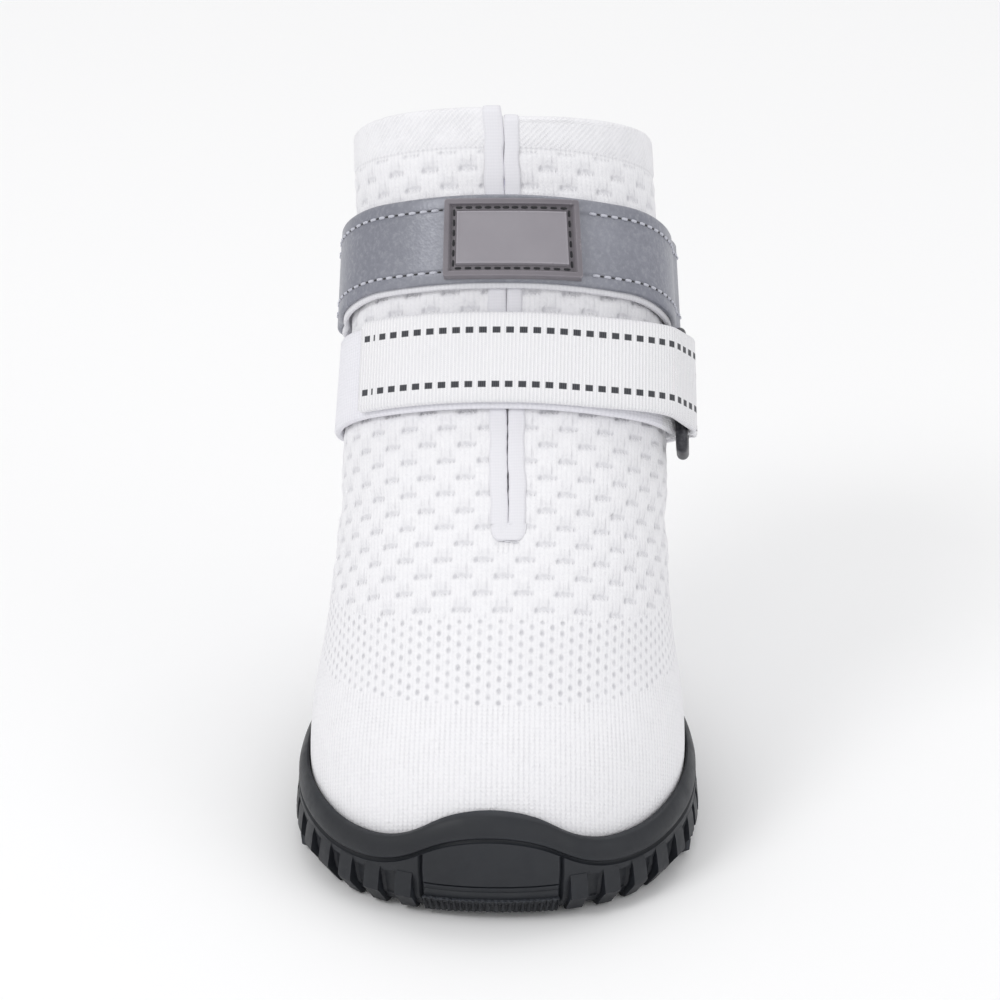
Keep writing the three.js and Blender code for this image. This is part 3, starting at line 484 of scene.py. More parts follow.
def cloth_material(name, color, dark, pitch_u, pitch_v, depth, rough=0.9, fuzz=0.3, sheen=0.2):
    """Plain cloth with crossing threads on the piece's own mm map."""
    k = Nodes(name)
    u, v = k.uv()
    a = k.sin(k.mul(u, 2 * PI / pitch_u))
    b = k.sin(k.mul(v, 2 * PI / pitch_v))
    weave = k.add(k.mul(a, 0.5), k.mul(b, 0.3))
    hair = k.noise(3000, 3, 0.7)
    tone = k.noise(90, 3)
    # painted shade: darker between the threads where the weave is low; the tone noise below is the cloth's own uneven
    # colour
    c = k.mix(k.ramp(weave, -0.6, 0.6, 0.28, 0.0), color, dark)
    c = k.mix(k.mul(tone, 0.25), c, dark)
    n = k.bump(k.add(k.mul(weave, 0.5), k.mul(hair, fuzz)), depth, 0.8)
    return k.finish(c, rough, n, **{"Sheen Weight": sheen, "Specular IOR Level": 0.25})


def webbing_material():
    """Ribbed webbing with two rows of dark woven dashes. Map: along the strap from its free end, across from the top edge."""
    k = Nodes("webbing")
    u, v = k.uv()
    rib = k.sin(k.mul(u, 2 * PI / 0.56))
    fine = k.sin(k.mul(k.add(v, k.mul(k.sub(k.fract(k.div(u, 1.12)), 0.5), 0.0)), 2 * PI / 0.34))
    along_u = k.sub(u, k.ramp(u, 2.9, 3.0, 1.0, 2.0))
    lane = k.fract(k.div(along_u, 2.0))
    on = k.mul(k.ramp(lane, 0.02, 0.07), k.ramp(lane, 0.60, 0.65, 1.0, 0.0))
    top = k.band(v, 2.55, 3.55, 0.07)
    bot = k.band(v, 11.2, 12.2, 0.07)
    dash = k.mul(k.mul(on, k.max(top, bot)), k.ramp(u, 0.9, 1.0))
    thread = k.ramp(k.sin(k.mul(u, 2 * PI / 0.3)), -1.0, 1.0, 0.95, 1.0)
    tone = k.noise(110, 3)
    edge_in = k.mul(k.ramp(v, 0.0, 0.9), k.ramp(v, 14.0, 15.2, 1.0, 0.0))
    # painted shade: darker in the troughs between the ribs
    base = k.mix(k.ramp(rib, -1.0, 0.4, 0.24, 0.0), (0.89, 0.885, 0.90), (0.52, 0.52, 0.57))
    base = k.mix(k.mul(tone, 0.16), base, (0.6, 0.6, 0.66))
    base = k.mix(k.sub(0.14, k.mul(edge_in, 0.14)), base, (0.55, 0.55, 0.62))
    c = k.mix(k.mul(dash, thread), base, (0.035, 0.037, 0.045))
    h = k.add(k.mul(k.add(k.mul(rib, 0.45), k.mul(fine, 0.12)), k.sub(1.0, k.mul(dash, 0.7))), k.add(k.mul(dash, 0.3), k.mul(k.noise(2400, 3), 0.25)))
    return k.finish(c, 0.85, k.bump(h, 0.16, 0.8), **{"Sheen Weight": 0.15, "Specular IOR Level": 0.3})


def reflective_material():
    k = Nodes("reflective")
    u, v = k.uv()
    grain = k.noise(1250, 4, 0.7)
    cell = k.new("ShaderNodeTexVoronoi")
    cell.inputs["Scale"].default_value = 2300
    k.put(cell.inputs["Vector"], k.coords())
    scuff = k.noise(60, 5, 0.6, dist=0.6)
    c = k.mix(k.ramp(scuff, 0.35, 0.75), (0.175, 0.182, 0.225), (0.235, 0.242, 0.29))
    c = k.mix(k.ramp(grain, 0.47, 0.68, 0.0, 0.40), c, (0.35, 0.36, 0.40))
    c = k.mix(k.ramp(grain, 0.32, 0.50, 0.26, 0.0), c, (0.12, 0.125, 0.155))
    # painted highlight: the strap's face is lighter within about 30 mm of the front
    painted_front_highlight = k.mul(k.ramp(k.abs(u), 9.0, 30.0, 1.0, 0.0), 0.34)
    c = k.mix(painted_front_highlight, c, (0.33, 0.335, 0.36))
    # painted shade: the sunk seam lines along the stitch rows are also darkened
    seam = k.max(k.band(v, 2.0, 2.4, 0.25), k.band(v, 11.3, 11.7, 0.25))
    c = k.mix(k.mul(seam, 0.35), c, (0.10, 0.105, 0.13))
    h = k.add(k.mul(grain, 0.4), k.sub(k.mul(cell.outputs["Distance"], 0.3), k.mul(seam, 1.2)))
    return k.finish(c, k.ramp(scuff, 0.3, 0.8, 0.36, 0.52), k.bump(h, 0.10, 0.7), **{"Metallic": 0.25, "Sheen Weight": 0.15, "Specular IOR Level": 0.55})


def rubber_material(name, color, light, rough=0.5, grain=900, depth=0.06, knurl=False):
    k = Nodes(name)
    g = k.noise(grain, 3, 0.6)
    broad = k.noise(45, 4, 0.6)
    dust = k.noise(260, 4, 0.65)
    c = k.mix(k.ramp(broad, 0.35, 0.7, 0.0, 0.6), color, light)
    c = k.mix(k.ramp(dust, 0.62, 0.8, 0.0, 0.35), c, light)
    geo = k.new("ShaderNodeNewGeometry")
    # lighter on sharp convex edges
    convex_edge_lightening = k.ramp(geo.outputs["Pointiness"], 0.52, 0.60, 0.0, 0.55)
    c = k.mix(convex_edge_lightening, c, tuple(min(1.0, 2.2 * a + 0.01) for a in light))
    h = k.mul(g, 0.6)
    if knurl:
        p = k.new("ShaderNodeSeparateXYZ")
        k.t.links.new(k.coords(), p.inputs[0])
        a = k.sin(k.mul(p.outputs[0], 2 * PI / (0.95 * MM)))
        b = k.sin(k.mul(p.outputs[1], 2 * PI / (1.0 * MM)))
        h = k.add(k.mul(h, 0.5), k.mul(k.ramp(k.mul(a, b), -0.1, 0.7), 0.9))
    return k.finish(c, k.ramp(dust, 0.3, 0.8, rough - 0.06, rough + 0.12), k.bump(h, depth, 0.7), **{"Specular IOR Level": 0.45})


def thread_material(name, color):
    k = Nodes(name)
    g = k.noise(2600, 2)
    return k.finish(k.mix(k.mul(g, 0.5), color, tuple(a * 0.6 for a in color)), 0.75, k.bump(g, 0.05, 0.6), **{"Sheen Weight": 0.2})


def metal_material():
    k = Nodes("ring_metal")
    g = k.noise(700, 4, 0.6)
    c = k.mix(k.ramp(g, 0.4, 0.75), (0.055, 0.055, 0.062), (0.13, 0.13, 0.14))
    return k.finish(c, k.ramp(g, 0.3, 0.8, 0.26, 0.42), k.bump(g, 0.02, 0.5), **{"Metallic": 0.85})


KNIT = knit_material()
LINING = cloth_material("lining", (0.78, 0.775, 0.80), (0.50, 0.50, 0.54), 0.9, 0.9, 0.10, fuzz=0.5)
TAPE = cloth_material("edge_tape", (0.765, 0.76, 0.795), (0.68, 0.675, 0.72), 0.5, 0.35, 0.012, rough=0.6, fuzz=0.2)
BACK_TAPE = cloth_material("back_tape", (0.50, 0.49, 0.60), (0.40, 0.39, 0.50), 0.6, 0.45, 0.05, rough=0.6, fuzz=0.15)
LOOP = cloth_material("loop_tape", (0.83, 0.825, 0.87), (0.62, 0.615, 0.68), 0.7, 0.5, 0.10, fuzz=0.9, sheen=0.4)
WEBBING = webbing_material()
REFLECTIVE = reflective_material()
STRAP_LINING = cloth_material("strap_lining", (0.80, 0.795, 0.825), (0.6, 0.6, 0.64), 0.6, 0.6, 0.06, fuzz=0.6)
RUBBER = rubber_material("sole_rubber", (0.0072, 0.0088, 0.0125), (0.0145, 0.017, 0.0225), 0.5)
RUBBER_TREAD = rubber_material("sole_tread", (0.0078, 0.0094, 0.0132), (0.017, 0.0195, 0.025), 0.54, depth=0.26, knurl=True)
BADGE_RUBBER = rubber_material("badge_rubber", (0.155, 0.142, 0.160), (0.215, 0.200, 0.220), 0.5, grain=1400, depth=0.05)
BADGE_PANEL = rubber_material("badge_panel", (0.255, 0.240, 0.265), (0.30, 0.285, 0.31), 0.58, grain=1400, depth=0.04)
WHITE_THREAD = thread_material("white_thread", (0.78, 0.78, 0.82))
SOFT_THREAD = thread_material("soft_thread", (0.62, 0.62, 0.68))
TACK_THREAD = thread_material("tack_thread", (0.72, 0.72, 0.76))
GREY_THREAD = thread_material("grey_thread", (0.56, 0.57, 0.64))
DARK_THREAD = thread_material("dark_thread", (0.03, 0.03, 0.035))
METAL = metal_material()

# ------------------------------------------------------------------ upper
COLS = 318


def column_u(t, v):
    """Angle of column t (0..1, round from the slit's right edge to its left edge) on the section v."""
    s = s_of(np.zeros_like(v), v)
    gap = np.where(s < SLIT_LENGTH - 0.6, SLIT_WIDTH / 2, 0.0)
    x = slit_x(s)
    right = u_at_x(x + gap, v)
    left = u_at_x(x - gap, v)
    # the slit's line returns to the middle toward the toe
    back = smoothstep((s - SLIT_LENGTH) / 30)
    right, left = right * (1 - back), left * (1 - back)
    return right + t * (2 * PI + left - right)


def swell(v):
    """How far the knit stands out over the sole's rim."""
    return 0.75 * smoothstep((v - 0.2) / 0.7) * (1 - smoothstep((v - 2.4) / 2.2))


def crease(u, v, s):
    """Soft troughs and ridges, in mm off the smooth form."""
    deg = np.degrees((u + PI) % (2 * PI) - PI)
    d = np.zeros_like(s)
    # centre angle, distance below the collar, half length (deg), half width (mm), tilt (mm per deg), depth
    for cu, cs, lu, ws, tilt, depth in [
        (-52, 60, 30, 3.2, 0.10, -0.45), (-70, 67, 26, 3.6, 0.06, -0.40), (58, 62, 30, 3.4, -0.08, -0.45),
        (74, 70, 24, 3.4, -0.05, -0.35), (-30, 72, 24, 4.0, 0.03, 0.25), (24, 80, 28, 4.2, -0.03, 0.22),
        (-100, 58, 26, 3.0, 0.04, -0.5), (102, 60, 26, 3.0, -0.04, -0.5), (165, 52, 30, 2.6, 0.0, -0.35),
        (-150, 57, 30, 2.6, 0.02, -0.35), (0, 9.0, 70, 2.2, 0.0, -0.12), (-62, 6.5, 24, 3.0, 0.02, 0.30),
        (-35, 28.8, 30, 1.8, 0.0, 0.18), (40, 28.8, 30, 1.8, 0.0, 0.18),
    ]:
        du = (deg - cu + 180) % 360 - 180
        ds = s - (cs + tilt * du)
        d += depth * np.exp(-(du / lu) ** 2 - (ds / ws) ** 2)
    return d


def motif_depth(arc, s):
    """The open motifs as dents, on the same chart as the knit's colour."""
    col = (arc + 300 * 3.07 + 0.6) / 3.07
    ci = np.floor(col)
    x = (col - ci) * 3.07
    row = s / 5.39 + (ci * 0.5) % 1.0
    y = (row - np.floor(row) - 0.5) * 5.39

    def blob(cx, cy, rx, ry):
        return np.exp(-(((x - cx) / rx) ** 2 + ((y - cy) / ry) ** 2) * 1.2)

    dent = np.maximum(0.8 * blob(1.65, -0.15, 1.3, 0.5), 1.2 * blob(0.38, 0.1, 0.45, 0.7))
    pad = blob(1.6, 1.5, 1.3, 0.8) + 0.7 * blob(1.35, -1.4, 0.45, 0.8)
    return -0.27 * dent + 0.13 * pad


def build_upper():
    t = np.linspace(0, 1, COLS)
    rows = 236
    low_v = 1.2
    # rows even along the front
    vs = np.linspace(low_v, LAST, 900)
    fs = s_of(np.zeros_like(vs), vs)
    v_front = np.interp(np.linspace(fs[0], 0, rows), fs[::-1], vs[::-1])
    r = (v_front - low_v) / (LAST - low_v)
    V = np.empty((rows, COLS))
    U = np.empty((rows, COLS))
    for _ in range(2):
        U = np.stack([column_u(t, np.full(COLS, low_v + (LAST - low_v) * a)) for a in r])
    drop = flap_drop(U[-1])
    vtop = v_below(U[-1], drop)
    V = low_v + (vtop[None, :] - low_v) * r[:, None]
    U = np.stack([column_u(t, V[k]) for k in range(rows)])
    S = s_of(U, V)
    A = arc_of(U, V)
    zone = V + 0.30 * np.sin(np.clip(np.abs((U + PI) % (2 * PI) - PI), 0, PI / 2)) ** 2
    d = crease(U, V, S) + swell(V)
    on = smoothstep((zone - 5.1) / 0.12) * smoothstep((S - 5.4) / 0.6)
    edge_free = smoothstep(np.abs(A - np.where(S < 66, slit_x(S), 99)) / 2.2 - 0.9)
    end_free = 1 - np.exp(-(((A - SLIT_LOW_X) / 2.4) ** 4) - ((S - SLIT_LENGTH - 1.5) / 3.2) ** 4)
    d = d + motif_depth(A, S) * on * edge_free * end_free
    d = d - 0.10 * np.exp(-(((S - 5.2) / 0.5) ** 2))
    # the rim stands slightly proud
    d = d + 0.12 * smoothstep((5.0 - S) / 0.6)
    P = skin_at(U, V, d)
    b = Build()
    uv = np.stack([A, S], -1)
    # rim: over the top and down the inside
    q = -np.linspace(0, PI * R_RIM, 8)[1:]
    q = np.concatenate([q, -PI * R_RIM - np.array([0.6, 1.5, 3.0, 5.0])])
    roll = np.stack([shell_point(U[-1], np.full(COLS, a), np.full(COLS, 0.12 if a > -PI * R_RIM else 0.05)) for a in q])
    uv_roll = np.stack([np.stack([A[-1], np.full(COLS, a)], -1) for a in q])
    pts = np.concatenate([P, roll])
    uvs = np.concatenate([uv, uv_roll])
    b.grid(pts, uvs)
    o = b.object("knit_upper", [KNIT], replaces=["upper"])
    zz = np.concatenate([zone, np.full((len(q), COLS), 12.0)])
    add_attribute(o, "zone", zz)
    # inside lining
    b = Build()
    rows2, cols2 = 90, 140
    t2 = np.linspace(0, 1, cols2)
    v2 = np.linspace(0.35, LAST - 0.12, rows2)
    U2 = np.stack([column_u(t2, np.full(cols2, a)) for a in v2])
    V2 = np.broadcast_to(v2[:, None], U2.shape)
    V2 = np.minimum(V2, v_below(U2[-1], flap_drop(U2[-1]) + 0.8)[None, :])
    b.grid(skin_at(U2, V2, np.full(U2.shape, -WALL)), np.stack([U2 * 22.0, s_of(U2, V2)], -1), flip=True)
    b.object("upper_lining", [LINING])


build_upper()


# ------------------------------------------------------------------ tapes
def build_slit_tape():
    """Smooth tape along both edges of the slit, over the rim, meeting in a rounded end."""
    b = Build()
    T = 0.34
    inside = 7.0
    for side, w_top, w_low in ((-1, 3.05, 2.7), (1, 2.35, 2.6)):
        fall = FLAP_STEP - 0.03 if side > 0 else 0.0
        q = np.concatenate([-PI * R_RIM - np.linspace(inside, 0.5, 8), -np.linspace(PI * R_RIM, 0.15, 8), np.linspace(0, SLIT_LENGTH - fall, 84)])
        s = np.maximum(q, 0) + fall
        wobble = 0.10 * np.sin(s * 0.55 + side) + 0.06 * np.sin(s * 1.3 + 2 * side)
        gap = 0.05 + 0.05 * np.sin(s * 0.42 + 1.0 * side) + 0.045 * np.sin(s * 1.1 + 2.3) + 0.04 * np.sin(s * 2.9 + 1.7 * side) * smoothstep((s - 30) / 10)
        gap = np.maximum(gap, -0.02)
        gap = gap * (1 - 0.9 * smoothstep((s - 59) / 4.5))
        width = lerp(w_top, w_low, s / SLIT_LENGTH)
        # across: inside face of the slit edge, its lip, the face, the outer edge
        prof = [(0.0, -1.5), (0.0, -0.5), (0.0, 0.02), (0.03, T * 0.6), (0.10, T * 0.95), (0.3, T * 1.05), (0.5, T * 1.05), (0.8, T), (0.95, T * 0.8), (1.0, 0.0)]
        out = []
        uv = []
        for f, h in prof:
            off = gap + (width - gap) * f
            x = slit_x(s) + side * off + (wobble if f > 0.5 else 0.3 * wobble)
            v = v_below(np.zeros_like(s), s)
            u = u_at_x(x, v)
            u = np.where(u == 0, 1e-6 * side, u)
            hh = np.full_like(s, h + 0.02)
            p = shell_point(u, q, hh)
            if side > 0:
                pass
            out.append(p)
            uv.append(np.stack([q, np.full_like(q, f * 2.6)], -1))
        pts = np.stack(out, 1)
        uvs = np.stack(uv, 1)
        b.grid(pts, uvs, flip=side < 0)
    # rounded end
    n = 15
    ang = np.concatenate([np.linspace(0, 0.75, 7), [0.84, 0.91, 0.96, 0.99, 1.0]])
    rows = []
    uvr = []
    for a in ang:
        s = SLIT_LENGTH - 0.3 + 2.9 * a
        half = 1.30 + 1.35 * math.sqrt(max(0.0, 1 - a ** 2.3))
        x = slit_x(s) + np.linspace(-1, 1, n) * half
        h = T * np.clip(1.06 - np.abs(np.linspace(-1, 1, n)) ** 8, 0.0, 1.0) * (1.0 if a < 0.98 else (0.75 if a < 1 else 0.1)) + 0.03
        h = h - 0.18 * np.exp(-((np.linspace(-1, 1, n) / 0.16) ** 2)) * (1 - smoothstep(a / 0.5))
        ss = np.full(n, s)
        v = v_below(np.zeros(n), ss)
        u = u_at_x(x, v)
        rows.append(shell_point(u, ss - flap_drop(u), h))
        uvr.append(np.stack([ss, np.linspace(-2.6, 2.6, n)], -1))
    b.grid(np.stack(rows), np.stack(uvr), flip=True)
    b.object("slit_tape", [TAPE])
    # bar tack under the end
    b = Build()
    for i in range(3):
        x = SLIT_LOW_X + (i - 1) * 1.05
        s = SLIT_LENGTH + 2.75 + 0.12 * (i - 1)
        v = v_below(np.zeros(2), np.full(2, s))
        u = u_at_x(np.array([x, x + 0.1]), v)
        p = skin_at(u, v, np.full(2, 0.2))
        stitch(b, p[0], p[1] - p[0], skin_normal(u[:1], v[:1])[0], 1.0, 0.11)
    b.object("slit_bar_tack", [TACK_THREAD])


def build_back_tape():
    b = Build()
    T = 0.26
    q = np.concatenate([-PI * R_RIM - np.linspace(9, 0.5, 8), -np.linspace(PI * R_RIM, 0.15, 8), np.linspace(0, float(s_of(np.array([PI]), np.array([1.25]))[0]), 104)])
    xs = np.array([-7.0, -6.9, -6.4, -4.5, -2, 0, 2, 4.5, 6.4, 6.9, 7.0])
    hs = np.array([0.0, 0.8, 1.0, 1.0, 1.0, 1.05, 1.0, 1.0, 1.0, 0.8, 0.0]) * T
    rows, uvs = [], []
    for a in q:
        s = max(a, 0.0)
        v = v_below(np.array([PI]), np.array([s]))[0]
        sec = section(np.array(v))
        u = PI - np.arcsin(np.clip(spow((xs - sec[8]) / sec[4], sec[7] / 2), -1, 1))
        rows.append(shell_point(u, np.full(len(xs), a), hs + 0.05 + float(swell(np.array(v)))))
        uvs.append(np.stack([xs, np.full(len(xs), a)], -1))
    b.grid(np.stack(rows), np.stack(uvs))
    b.object("back_tape", [BACK_TAPE])


build_back_tape()


# ------------------------------------------------------------------ straps
class Strip:
    """A strap bent along stations. rows: (top point, low point) pairs of its middle layer."""

    def __init__(self, pairs, thick):
        self.p = np.asarray(pairs, float)
        self.thick = thick
        a, c = self.p[:, 0], self.p[:, 1]
        self.across = unit(a - c)
        t = np.empty_like(self.p)
        t[1:-1] = self.p[2:] - self.p[:-2]
        t[0], t[-1] = self.p[1] - self.p[0], self.p[-1] - self.p[-2]
        self.out = unit(np.cross(unit(t), self.across[:, None, :]))
        mid = self.p.mean(1)
        self.len = np.concatenate([[0], np.cumsum(np.linalg.norm(np.diff(mid, axis=0), axis=1))])
        self.width = np.linalg.norm(a - c, axis=1)

    def at(self, s, a, h):
        """Point at path length s, a mm from the top edge, h above the outer face."""
        s, a, h = np.broadcast_arrays(np.asarray(s, float), np.asarray(a, float), np.asarray(h, float))

        def pick(arr):
            return np.stack([np.interp(s, self.len, arr[:, k]) for k in range(3)], -1)

        w = np.interp(s, self.len, self.width)
        f = (a / w)[..., None]
        n = unit(pick(self.out[:, 0]) * (1 - f) + pick(self.out[:, 1]) * f)
        return pick(self.p[:, 0]) * (1 - f) + pick(self.p[:, 1]) * f + n * (self.thick / 2 + h)[..., None], n

    def mesh(self, b, uv0=0.0, sign=1.0, mat_of=None, lo=None, hi=None, ins=0.0, extra=0.0, across=11, round_end=0.4):
        """lo, hi: layer limits off the middle. extra: how far the edges stand past the strap's."""
        lo = -self.thick / 2 if lo is None else lo
        hi = self.thick / 2 if hi is None else hi
        r = (hi - lo) / 2
        m = (hi + lo) / 2
        n = len(self.p)
        loops, uvs = [], []
        fr = np.linspace(0, 1, across)
        for k in range(n):
            top, low = self.p[k]
            w = self.width[k] + 2 * extra
            ac = self.across[k]
            top = top + ac * extra
            shrink = 0.0
            end = min(self.len[k], self.len[-1] - self.len[k])
            if end < 0.5:
                shrink = 0.35 * (1 - end / 0.5)
            rr = r * (1 - 0.35 * (1 - min(end / 0.5, 1)))
            pts, uv = [], []
            # outer face top to low
            rad = min(rr, 0.45)
            for f in fr:
                d = rad + shrink + (w - 2 * rad - 2 * shrink) * f
                o = self.out[k, 0] * (1 - f) + self.out[k, 1] * f
                o = o / np.linalg.norm(o)
                pts.append(top - ac * d + o * (m + rr))
                uv.append((0, d - extra))
            for th in (45, 90, 135):
                th = math.radians(th)
                o = self.out[k, 1]
                pts.append(top - ac * (w - shrink - rad + rad * math.sin(th)) + o * (m + rr * math.cos(th)))
                uv.append((0, w - extra))
            for f in fr[::-1]:
                d = rad + shrink + (w - 2 * rad - 2 * shrink) * f
                o = self.out[k, 0] * (1 - f) + self.out[k, 1] * f
                o = o / np.linalg.norm(o)
                pts.append(top - ac * d + o * (m - rr))
                uv.append((0, d - extra))
            for th in (225, 270, 315):
                th = math.radians(th)
                o = self.out[k, 0]
                pts.append(top - ac * (shrink + rad + rad * math.sin(th)) + o * (m + rr * math.cos(th)))
                uv.append((0, 0))
            loops.append(pts)
            uvs.append([(uv0 + sign * self.len[k], c[1]) for c in uv])
        pts = np.array(loops)
        m2 = pts.shape[1]
        mats = 0
        if mat_of is not None:
            mats = np.repeat([mat_of(0.5 * (self.len[k] + self.len[k + 1])) for k in range(n - 1)], m2)
        start = b.n
        b.add(pts.reshape(-1, 3), grid_faces(n, m2, wrap=True), np.array(uvs).reshape(-1, 2), mats)
        first = [start + i for i in range(m2)]
        last = [start + (n - 1) * m2 + i for i in range(m2)]
        m0 = 0 if mat_of is None else mat_of(0)
        m1 = 0 if mat_of is None else mat_of(self.len[-1])
        b.f.append(first[::-1])
        b.m.append(m0)
        b.f.append(last)
        b.m.append(m1)


def along(name, degs, d, shift=0.0, inset=0.0):
    degs = np.asarray(degs, float)
    d = np.broadcast_to(np.asarray(d, float), degs.shape)
    e = edge(name, degs)
    u = np.radians(degs)
    top = skin_at(u, v_below(u, e[:, 0] + shift + inset), d)
    low = skin_at(u, v_below(u, e[:, 1] + shift - inset), d)
    return np.stack([top, low], 1)


def stations(a, b, step):
    n = max(1, round(abs(b - a) / step))
    return np.linspace(a, b, n + 1)


def ease(x):
    return smoothstep(np.asarray(x, float))


BASE_D = GAP + 0.1 + BAND_T / 2
OVER_D = GAP + 0.15 + BAND_T + GAP + STRAP_T / 2
STRAP_LOW_D = GAP + 0.15 + STRAP_T / 2

# capsule stitches -------------------------------------------------
def stitch(b, p, t, n, length, radius, mat=0, sink=0.35):
    """One short thread lying on the cloth at p, along t, with the cloth's normal n."""
    t, n = unit(np.asarray(t, float)), unit(np.asarray(n, float))
    side = np.cross(n, t)
    rings = [(-0.5, 0.35, -0.5), (-0.33, 0.9, 0.15), (0.0, 1.0, 0.35), (0.33, 0.9, 0.15), (0.5, 0.35, -0.5)]
    pts = []
    for f, r, z in rings:
        c = p + t * (f * length) + n * (radius * (z + 0.2) - radius * sink)
        for k in range(6):
            a = 2 * PI * k / 6
            pts.append(c + (side * math.cos(a) + n * math.sin(a)) * radius * r)
    start = b.n
    b.add(np.array(pts), grid_faces(len(rings), 6, wrap=True, flip=True), None, mat)
    b.f.append([start + k for k in range(6)])
    b.m.append(mat)
    b.f.append([start + 24 + k for k in range(6)][::-1])
    b.m.append(mat)


def stitch_row(b, strip, s0, s1, a0, a1, pitch, length, radius, skip=None, mat=0, h=0.0, needle_hole_shade=None):
    """Stitches on a strap from path length s0 to s1, the row's distance from the top edge going from a0 to a1."""
    total = math.hypot(s1 - s0, a1 - a0)
    n = max(1, int(round(total / pitch)))
    for i in range(n):
        f = (i + 0.5) / n
        s, a = lerp(s0, s1, f), lerp(a0, a1, f)
        if skip is not None and skip(s):
            continue
        e = 0.3 / max(total, 1e-6)
        p, nn = strip.at(s, a, h)
        p1, _ = strip.at(lerp(s0, s1, f + e), lerp(a0, a1, f + e), h)
        p0, _ = strip.at(lerp(s0, s1, f - e), lerp(a0, a1, f - e), h)
        stitch(b, p, p1 - p0, nn, length, radius, mat)
        # painted shade: a dark sunk thread piece between stitches stands for the shade in the needle holes
        if needle_hole_shade is not None:
            f = (i + 1.0) / n
            p, nn = strip.at(lerp(s0, s1, f), lerp(a0, a1, f), h)
            stitch(b, p, p1 - p0, nn, pitch - length + 0.3, radius * 0.7, needle_hole_shade, sink=0.75)


build_slit_tape()

# loop band round the back
loop_strip = Strip(along("loopBand", stations(107, 251, 2.0), BASE_D), BAND_T)
b = Build()
loop_strip.mesh(b)
b.object("loop_band_cloth", [LOOP], replaces=["loop_band"])

# reflective strap: grey face over a white backing that shows past its lower edge
ref_degs = stations(-112, 155, 1.6)
ref_d = lerp(STRAP_LOW_D, OVER_D, np.maximum(ease((ref_degs - 90) / 16), ease((-ref_degs - 91) / 16)))
# stands off the leg at the left
ref_d = ref_d + 0.25 * np.exp(-(((ref_degs + 74) / 16) ** 2))
ref_strip = Strip(along("reflective", ref_degs, ref_d), STRAP_T)
front_s = float(np.interp(0, ref_degs, ref_strip.len))
b = Build()
ref_strip.mesh(b, uv0=-front_s, lo=-0.15, hi=STRAP_T / 2)
b.object("reflective_face", [REFLECTIVE], replaces=["reflective_strap"])
b = Build()
ref_strip.mesh(b, lo=-STRAP_T / 2, hi=-0.1, extra=0.0)
# the backing's lower edge
low_rows = ref_strip.p.copy()
low_rows[:, 0] = ref_strip.p[:, 1] + ref_strip.across * 1.2
low_rows[:, 1] = ref_strip.p[:, 1] - ref_strip.across * 0.75
edge_strip = Strip(low_rows, STRAP_T)
edge_strip.mesh(b, lo=-STRAP_T / 2 + 0.02, hi=0.02, across=4)
b.object("reflective_backing", [STRAP_LINING])
badge_lo = float(np.interp(-23.5, ref_degs, ref_strip.len))
badge_hi = float(np.interp(28.5, ref_degs, ref_strip.len))
end_s = ref_strip.len[-1]
b = Build()
in_badge = lambda s: badge_lo + 1.2 < s < badge_hi - 1.2
W = float(ref_strip.width.mean())
for a in (2.15, W - 2.2):
    stitch_row(b, ref_strip, 2.0, end_s - 2.2, a, a, 1.85, 1.32, 0.24, skip=in_badge, needle_hole_shade=1)
stitch_row(b, ref_strip, end_s - 2.2, end_s - 2.2, 2.4, W - 2.4, 1.72, 1.22, 0.15)
stitch_row(b, ref_strip, end_s - 17, end_s - 17, 2.6, W - 2.6, 1.72, 1.22, 0.15)
stitch_row(b, ref_strip, 2.0, 2.0, 2.4, W - 2.4, 1.72, 1.22, 0.15)
b.object("reflective_stitches", [GREY_THREAD, DARK_THREAD])

# badge
BADGE_W, BADGE_X, BADGE_TOP, BADGE_LOW = 18.9, 1.2, 12.9, 25.6


def badge_height(a, c, w, h):
    """Raised frame, sunk channel, raised bare panel; a, c from the left and top edges."""
    e = np.minimum(np.minimum(a, w - a), np.minimum(c, h - c))
    corner = 0.6
    ax = np.maximum(corner - np.minimum(a, w - a), 0)
    cx = np.maximum(corner - np.minimum(c, h - c), 0)
    e = np.where((ax > 0) & (cx > 0), corner - np.hypot(ax, cx), e)
    z = 1.75 * smoothstep((e + 0.02) / 0.28)
    z = z - 1.0 * smoothstep((e - 0.98) / 0.2)
    z = z + 0.85 * smoothstep((e - 1.98) / 0.22)
    z = z - 0.10 * smoothstep((e - 2.35) / 0.25)
    return z


